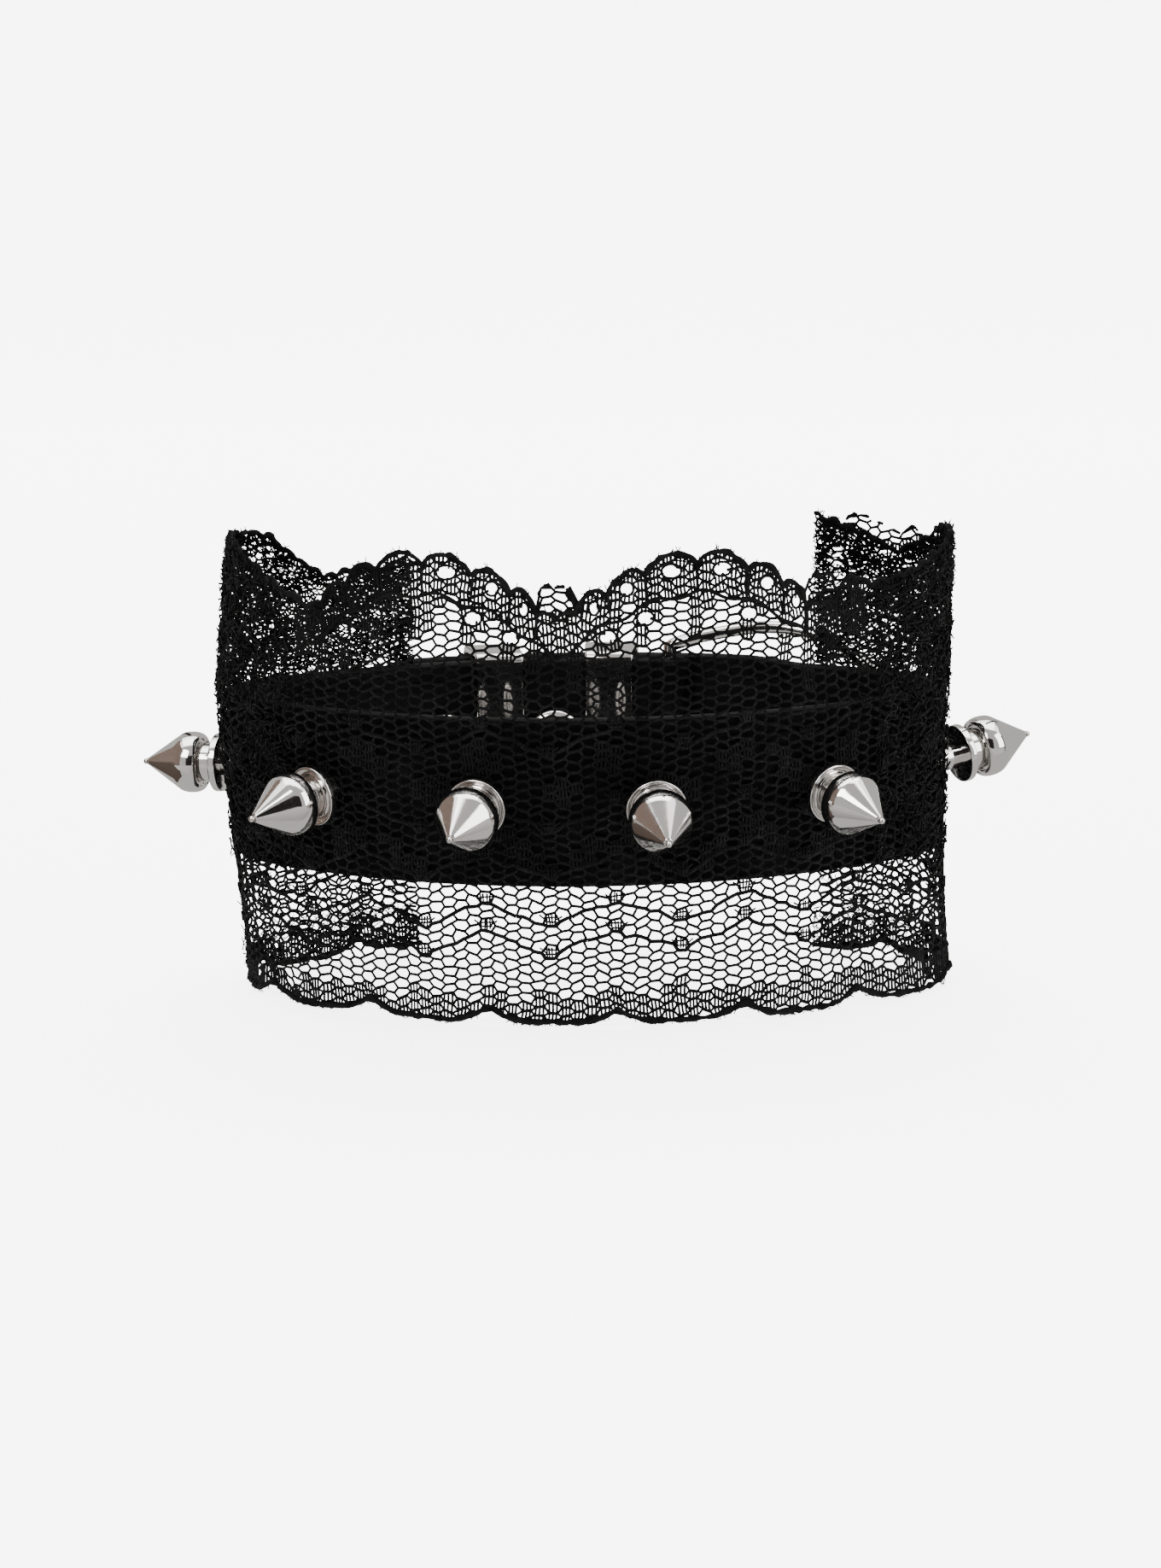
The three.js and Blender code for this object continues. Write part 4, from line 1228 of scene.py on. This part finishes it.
def screw_shell(plan, spike, matrix, base, rock, along):
    """A screw's slotted head inside the strap and its shank: the head's face is sunk in a slot by halves."""
    bend = min(float(plan_at(plan, along + k * spike.screw_head)[4]) for k in (-1, 0, 1))
    wall = plan.size.strap_wall
    sag = bend - wall - np.sqrt((bend - wall) ** 2 - spike.screw_head**2)
    inside = -(wall / np.sqrt(1 - rock**2) + GAP + rock * spike.screw_head + sag)
    head = spike.screw_head
    profile = rounded([
        (0, inside - 0.9), (head - 0.35, inside - 0.9), (head, inside - 0.45), (head, inside),
        (1.5, inside), (1.5, base + 0.2), (0, base + 0.2),
    ], 0.14, 4)
    return turned_shell(profile, 48, matrix), inside


def slot_cutter(matrix, inside, head):
    """A box across the screw's head."""
    sides = (-0.45, 0.45), (-1.6, -0.5), (-head - 1, head + 1)
    corners = np.array([(x, y, z) for x in sides[0] for y in sides[1] for z in sides[2]])
    corners[:, 1] += inside
    faces = np.array([(0, 1, 3, 2), (4, 6, 7, 5), (0, 4, 5, 1), (2, 3, 7, 6), (0, 2, 6, 4), (1, 5, 7, 3)])
    return corners @ matrix[:3, :3].T + matrix[:3, 3], [faces]


def smooth_line(points, count):
    """A Catmull-Rom curve through rows of points, at evenly spread parameters."""
    points = np.asarray(points, float)
    padded = np.concatenate([2 * points[:1] - points[1:2], points, 2 * points[-1:] - points[-2:-1]])
    t = np.linspace(0, len(points) - 1 - 1e-9, count)
    i = t.astype(int)
    u = (t - i)[:, None]
    a, b, c, d = (padded[i + k] for k in range(4))
    return 0.5 * (2 * b + (c - a) * u + (2 * a - 5 * b + 4 * c - d) * u**2 + (3 * b - a - 3 * c + d) * u**3)


def frame_shell(plan):
    """The buckle frame: a round wire along its outline, easing out from the bar to lie over the lace."""
    buckle = plan.buckle
    upper = smooth_line([(0, 0.84), (0.16, 0.93), (0.44, 1), (0.72, 0.88), (0.92, 0.54), (1, 0)], 40)
    bar = as_rows(0.0, np.linspace(-0.72, 0.72, 9))
    outline = np.concatenate([upper, upper[-2::-1] * [1, -1], bar])
    place = plan.bar_place - outline[:, 0] * buckle.frame_length
    low, high = -plan.size.strap_wall / 2, ON_LACE + buckle.wire
    out = low + (high - low) * smooth(outline[:, 0], 0, 0.6)
    path = wall_point(plan, place, out, plan.middle + outline[:, 1] * buckle.frame_height / 2)
    return tube_shell(path, buckle.wire, normal_at(plan, place), 20, closed=True)


def prong_shells(plan):
    """The prong: a loop round the bar, and a round pin that tapers a little to its resting end."""
    buckle = plan.buckle
    reach = buckle.wire + GAP + 2 * buckle.prong
    low = -plan.size.strap_wall / 2
    high = ON_LACE + 2 * buckle.wire + GAP + buckle.prong
    run = np.linspace(0, 1, 30)
    long = buckle.frame_length - reach + buckle.wire + buckle.prong
    place = plan.bar_place - (reach - buckle.prong) - run * long
    path = wall_point(plan, place, low + (high - low) * run * (1.3 - 0.3 * run), plan.middle)
    pin = tube_shell(path, buckle.prong * (1 - 0.12 * run), normal_at(plan, place), 16)
    angle = ring_angles(36)
    centre = wall_point(plan, plan.bar_place, low, plan.middle)
    ring_path = centre + (reach - buckle.prong) * as_rows(np.cos(angle), np.sin(angle), 0.0)
    up = np.broadcast_to([0, 0, 1.0], ring_path.shape)
    return [pin, tube_shell(ring_path, buckle.prong, up, 16, closed=True)]


def keeper_shell(plan, along):
    """A keeper: a flat band with rounded edges, carried round a rounded rectangle across the strap."""
    buckle, size = plan.buckle, plan.size
    reach = GAP + buckle.keeper_wall
    low, high = size.strap_bottom - reach, plan.strap_top + reach
    inner, outer = -size.strap_wall - reach, plan.lift + reach
    half_wall = buckle.keeper_wall / 2
    corner, rim = 0.75, 0.3
    turn = np.linspace(0, np.pi / 2, 6)
    middle = np.array([(inner + outer) / 2, (low + high) / 2])
    span = np.array([(outer - inner) / 2, (high - low) / 2]) - half_wall
    first, second = as_rows(np.cos(turn), np.sin(turn)), as_rows(-np.sin(turn), np.cos(turn))
    facing = np.concatenate([first, second, -first, -second])
    quarters = np.repeat([(1, 1), (-1, 1), (-1, -1), (1, -1)], len(turn), 0)
    spots = (span - corner) * quarters + corner * facing
    edge = np.linspace(0, np.pi, 7)
    side = as_rows(buckle.keeper_width / 2 - rim + rim * np.sin(edge), half_wall * np.cos(edge))
    section = np.concatenate([side, -side])
    out, height = (middle[i] + spots[:, None, i] + facing[:, None, i] * section[:, 1] for i in (0, 1))
    place = along + np.broadcast_to(section[:, 0], out.shape)
    points = wall_point(plan, place, out, height)
    return points.reshape(-1, 3), [grid_faces(len(spots), len(section), wrap_rows=True)]


def back_places(plan):
    """Places along the girth of the rivets and the keepers, in strides from the lace's cut end."""
    cap = 0.7 * plan.buckle.rivet
    stride = plan.buckle.rivet + 2 * GAP + plan.buckle.keeper_width / 2
    last = plan.lace.bare_left - 2 * GAP - cap
    rivets = [place - plan.half for place in (last - 2 * stride, last)]
    keepers = [place + plan.half for place in (last - 3 * stride, last - stride)]
    return rivets, keepers


def rivet_shell(plan, along):
    """A rivet: a domed cap inside the strap, a shank, and a flat cap under the tongue."""
    radius = 1.12 * plan.buckle.rivet
    inside = -(plan.size.strap_wall + GAP)
    turn = np.linspace(0, 1, 9) * np.pi / 2
    cap = as_rows(radius * np.sin(turn), inside - 1.1 * np.cos(turn) ** 0.8)
    rest = rounded([
        (radius, inside), (1.3, inside), (1.3, GAP), (2.24, GAP), (2.24, GAP + 0.5), (0, GAP + 0.5),
    ], 0.12, 4)
    return turned_shell(np.concatenate([cap, rest]), 48, seat_matrix(plan, along))


# Studio


def backdrop_mesh():
    """A floor that curves up into a back wall: straight, a quarter circle, then straight up."""
    angle = np.linspace(0, np.pi / 2, 24)
    floor = np.array([(-1.6, 0.0), (0.0, 0.0), (0.5, 0.0)])
    bend = as_rows(0.6 + 0.5 * np.sin(angle), 0.5 - 0.5 * np.cos(angle))
    wall = np.array([(1.1, 1.2), (1.1, 2.2)])
    line = np.concatenate([floor, bend, wall])
    points = as_rows(np.array([-2.4, 2.4]), line[:, :1], line[:, 1:]).reshape(-1, 3)
    return points, grid_faces(len(line), 2, wrap_columns=False)


def stage_piece(name, points, faces, material):
    """A piece of the studio, from points in metres."""
    mesh = bpy.data.meshes.new(name)
    mesh.from_pydata(np.asarray(points).tolist(), [], np.asarray(faces).tolist())
    mesh.polygons.foreach_set("use_smooth", np.ones(len(mesh.polygons), bool))
    mesh.materials.append(material)
    piece = bpy.data.objects.new(name, mesh)
    bpy.context.scene.collection.objects.link(piece)
    return piece


def card(name, place, aim, width, height, material):
    """A flat card that faces aim and only shows in reflections, to draw the metal's forms."""
    corners = np.array([(-1, -1, 0), (1, -1, 0), (1, 1, 0), (-1, 1, 0)]) * [width / 2, height / 2, 0]
    turn = (Vector(aim) - Vector(place)).to_track_quat("Z", "Y").to_matrix()
    points = corners @ np.array(turn).T + np.array(place)
    piece = stage_piece(name, points, [(0, 1, 2, 3)], material)
    piece.visible_camera = piece.visible_diffuse = piece.visible_shadow = False


def soft_light(name, place, aim, width, height, power):
    """A rectangle of light that faces aim."""
    data = bpy.data.lights.new(name, "AREA")
    data.shape, data.size, data.size_y, data.energy = "RECTANGLE", width, height, power
    light = bpy.data.objects.new(name, data)
    bpy.context.scene.collection.objects.link(light)
    light.location = place
    light.rotation_euler = (Vector(aim) - Vector(place)).to_track_quat("-Z", "Y").to_euler()


# Operators


class CUFF_OT_strap(bpy.types.Operator):
    """Builds the leather strap, its fold round the bar and its stitches"""

    bl_idname = "cuff.strap"
    bl_label = "Strap"

    def execute(self, context):
        plan = plan_of(context)
        leather, thread = kept("strap leather", leather_material), kept("lace thread", thread_material)
        strap = new_piece("strap_leather", *strap_shell(plan), leather, "strap_leather", ("strap",))
        cut_away(strap, tongue_holes(plan))
        # Paints a highlight on the strap's upward faces, as a mask.
        mark_painted_highlight(strap)
        fold = new_piece("strap_fold", *fold_shell(plan), leather, "strap_leather")
        cut_away(fold, [hole_shell(plan, plan.bar_at, -1.1, 7, 1.9, 9)])
        new_piece("strap_stitches", *stitch_shell(plan), thread, "lace_thread")
        return {"FINISHED"}


class CUFF_OT_lace(bpy.types.Operator):
    """Builds the lace: its net, worked cloth, outlines and whiskers"""

    bl_idname = "cuff.lace"
    bl_label = "Lace"

    def execute(self, context):
        plan = plan_of(context)
        thread = kept("lace thread", thread_material)
        net = new_piece("lace_net", *thread_shell(plan, *net_threads(plan)), thread, "lace_thread", ("lace",))
        shells = gimp_shells(plan)
        shells += [thread_shell(plan, *fringe_threads(plan)), thread_shell(plan, *dot_threads(plan))]
        gimp = new_piece("lace_gimp", *join_shells(shells), thread, "lace_thread", ("lace",))
        shell = thread_shell(plan, *crumple_threads(plan))
        crumple = new_piece("lace_crumple", *shell, thread, "lace_thread", ("lace",))
        wide = (plan.lace_left + plan.lace_right) * MM
        along = np.linspace(-plan.lace_left, plan.lace_right, 2000)
        area = float(np.mean(lace_top(plan, along) - lace_bottom(plan, along))) * MM * wide
        return {"FINISHED"}


class CUFF_OT_spikes(bpy.types.Operator):
    """Builds the six spikes and the screws that hold them"""

    bl_idname = "cuff.spikes"
    bl_label = "Spikes"

    def execute(self, context):
        plan, spike = plan_of(context), in_mm(context.scene.cuff_spikes)
        nickel = kept("polished nickel", nickel_material)
        profile = spike_profile(spike)
        for i, (place, rise, turn, droop) in enumerate(SPIKES, 1):
            along = place * spike.pitch
            matrix = seat_matrix(plan, along, turn, droop, rise)
            base, rock = spike_base(spike, turn, droop)
            shell = turned_shell(profile + [0, base], 72, matrix)
            new_piece(f"spike_{i}_turned", *shell, nickel, "spike_metal", (f"spike_{i}",))
            shell, inside = screw_shell(plan, spike, matrix, base, rock, along)
            screw = new_piece(f"screw_{i}_turned", *shell, nickel, "screw_metal", (f"screw_{i}",))
            cut_away(screw, [slot_cutter(matrix, inside, spike.screw_head)])
        return {"FINISHED"}


class CUFF_OT_buckle(bpy.types.Operator):
    """Builds the buckle's frame and prong, the keepers and the rivets"""

    bl_idname = "cuff.buckle"
    bl_label = "Buckle"

    def execute(self, context):
        plan = plan_of(context)
        nickel = kept("polished nickel", nickel_material)
        new_piece("buckle_wire", *frame_shell(plan), nickel, "buckle_metal", ("buckle_frame",))
        new_piece("buckle_pin", *join_shells(prong_shells(plan)), nickel, "buckle_metal", ("buckle_prong",))
        rivets, keepers = back_places(plan)
        for i, along in enumerate(keepers, 1):
            shell = keeper_shell(plan, along)
            new_piece(f"keeper_{i}_band", *shell, nickel, "buckle_metal", (f"keeper_{i}",))
        for i, along in enumerate(rivets, 1):
            shell = rivet_shell(plan, along)
            new_piece(f"rivet_{i}_caps", *shell, nickel, "buckle_metal", (f"rivet_{i}",))
        return {"FINISHED"}


class CUFF_OT_stage(bpy.types.Operator):
    """Builds the pale floor and backdrop, the lights and the camera"""

    bl_idname = "cuff.stage"
    bl_label = "Stage"

    def execute(self, context):
        scene, plan = context.scene, plan_of(context)
        pale, tree, shader, place = new_material(
            "studio paper", {"Specular IOR Level": 0.1, "Emission Strength": 4.2}
        )
        shader.inputs["Base Color"].default_value = (*scene.cuff_finish.floor, 1)
        rough = remap(tree, uneven(tree, place, 3.0, 30.0), 0.3, 0.7, 0.85, 0.95)
        tree.links.new(rough, shader.inputs["Roughness"])
        backdrop = stage_piece("studio_backdrop", *backdrop_mesh(), pale)
        backdrop.visible_glossy = False
        world = bpy.data.worlds.new("studio")
        world.use_nodes = True
        around = world.node_tree.nodes["Background"].inputs
        around["Color"].default_value = (1, 0.985, 0.955, 1)
        around["Strength"].default_value = 0.6
        scene.world = world
        aim = (0, 0, 0.03)
        soft_light("key", (-0.45, -0.7, 0.7), aim, 0.5, 0.5, 7)
        soft_light("fill", (0.8, -0.4, 0.4), aim, 0.4, 0.8, 5)
        soft_light("top", (0.0, 0.2, 1.1), aim, 1.2, 0.9, 10)
        soft_light("wash", (0.0, 0.1, 1.4), (0, 0.9, 0.3), 2.4, 1.0, 15)
        dark = matte_material("dark card", (0.004, 0.0035, 0.0035), 8.0)
        grey = matte_material("grey card", (0.2, 0.195, 0.19), 7.0)
        brown = matte_material("brown card", (0.05, 0.038, 0.032), 6.0)
        card("card_front", (0.0, -1.0, 0.25), aim, 1.0, 0.8, dark)
        card("card_floor", (0.0, -0.195, 0.004), (0.0, -0.195, 1.0), 0.5, 0.33, grey)
        card("card_left", (-0.5, -0.02, 0.05), aim, 0.8, 1.2, brown)
        card("card_low", (0.12, -0.35, 0.01), aim, 0.06, 0.3, dark)
        card("card_high", (0.2, 0.25, 0.45), aim, 0.05, 0.5, dark)
        card("card_right", (0.5, -0.1, 0.12), aim, 0.07, 0.4, dark)
        card("card_back", (-0.15, 0.45, 0.22), aim, 0.05, 0.5, dark)

        target = np.array([0, 0, TARGET_HEIGHT]) + plan.shift
        rise = np.radians(CAMERA_RISE)
        place = target + CAMERA_FAR * np.array([0, -np.cos(rise), np.sin(rise)])
        data = bpy.data.cameras.new("camera")
        data.sensor_width, data.lens = 36, CAMERA_LENS
        data.shift_x, data.shift_y = PICTURE_SHIFT
        camera = bpy.data.objects.new("camera", data)
        scene.collection.objects.link(camera)
        view = Matrix.Rotation(np.pi / 2 - rise, 4, "X") @ Matrix.Rotation(np.radians(CAMERA_ROLL), 4, "Z")
        camera.matrix_world = Matrix.Translation(Vector(place * MM)) @ view
        data.clip_start, data.clip_end = 0.01, 20
        scene.camera = camera
        return {"FINISHED"}


OPERATORS = [CUFF_OT_strap, CUFF_OT_lace, CUFF_OT_spikes, CUFF_OT_buckle, CUFF_OT_stage]


class CUFF_PT_panel(bpy.types.Panel):
    """Lists the sizes, the colours and the pieces of the cuff"""

    bl_idname = "CUFF_PT_panel"
    bl_label = "Lace cuff"
    bl_space_type = "VIEW_3D"
    bl_region_type = "UI"
    bl_category = "Cuff"

    def draw(self, context):
        for name, group in GROUPS.items():
            box = self.layout.box()
            box.label(text=group.__doc__)
            for key in group.__annotations__:
                box.prop(getattr(context.scene, name), key)
        for operator in OPERATORS:
            self.layout.operator(operator.bl_idname)


def register():
    """Registers the groups, the operators and the panel, and adds the groups to the scene."""
    for cls in [*GROUPS.values(), *OPERATORS, CUFF_PT_panel]:
        bpy.utils.register_class(cls)
    for name, group in GROUPS.items():
        setattr(bpy.types.Scene, name, PointerProperty(type=group))


def unregister():
    """Takes back what register added."""
    for name in GROUPS:
        delattr(bpy.types.Scene, name)
    for cls in reversed([*GROUPS.values(), *OPERATORS, CUFF_PT_panel]):
        bpy.utils.unregister_class(cls)


def main():
    """Registers the add-on and runs its operators in order."""
    register()
    bpy.ops.cuff.strap()
    bpy.ops.cuff.lace()
    bpy.ops.cuff.spikes()
    bpy.ops.cuff.buckle()
    bpy.ops.cuff.stage()


if __name__ == "__main__":
    main()
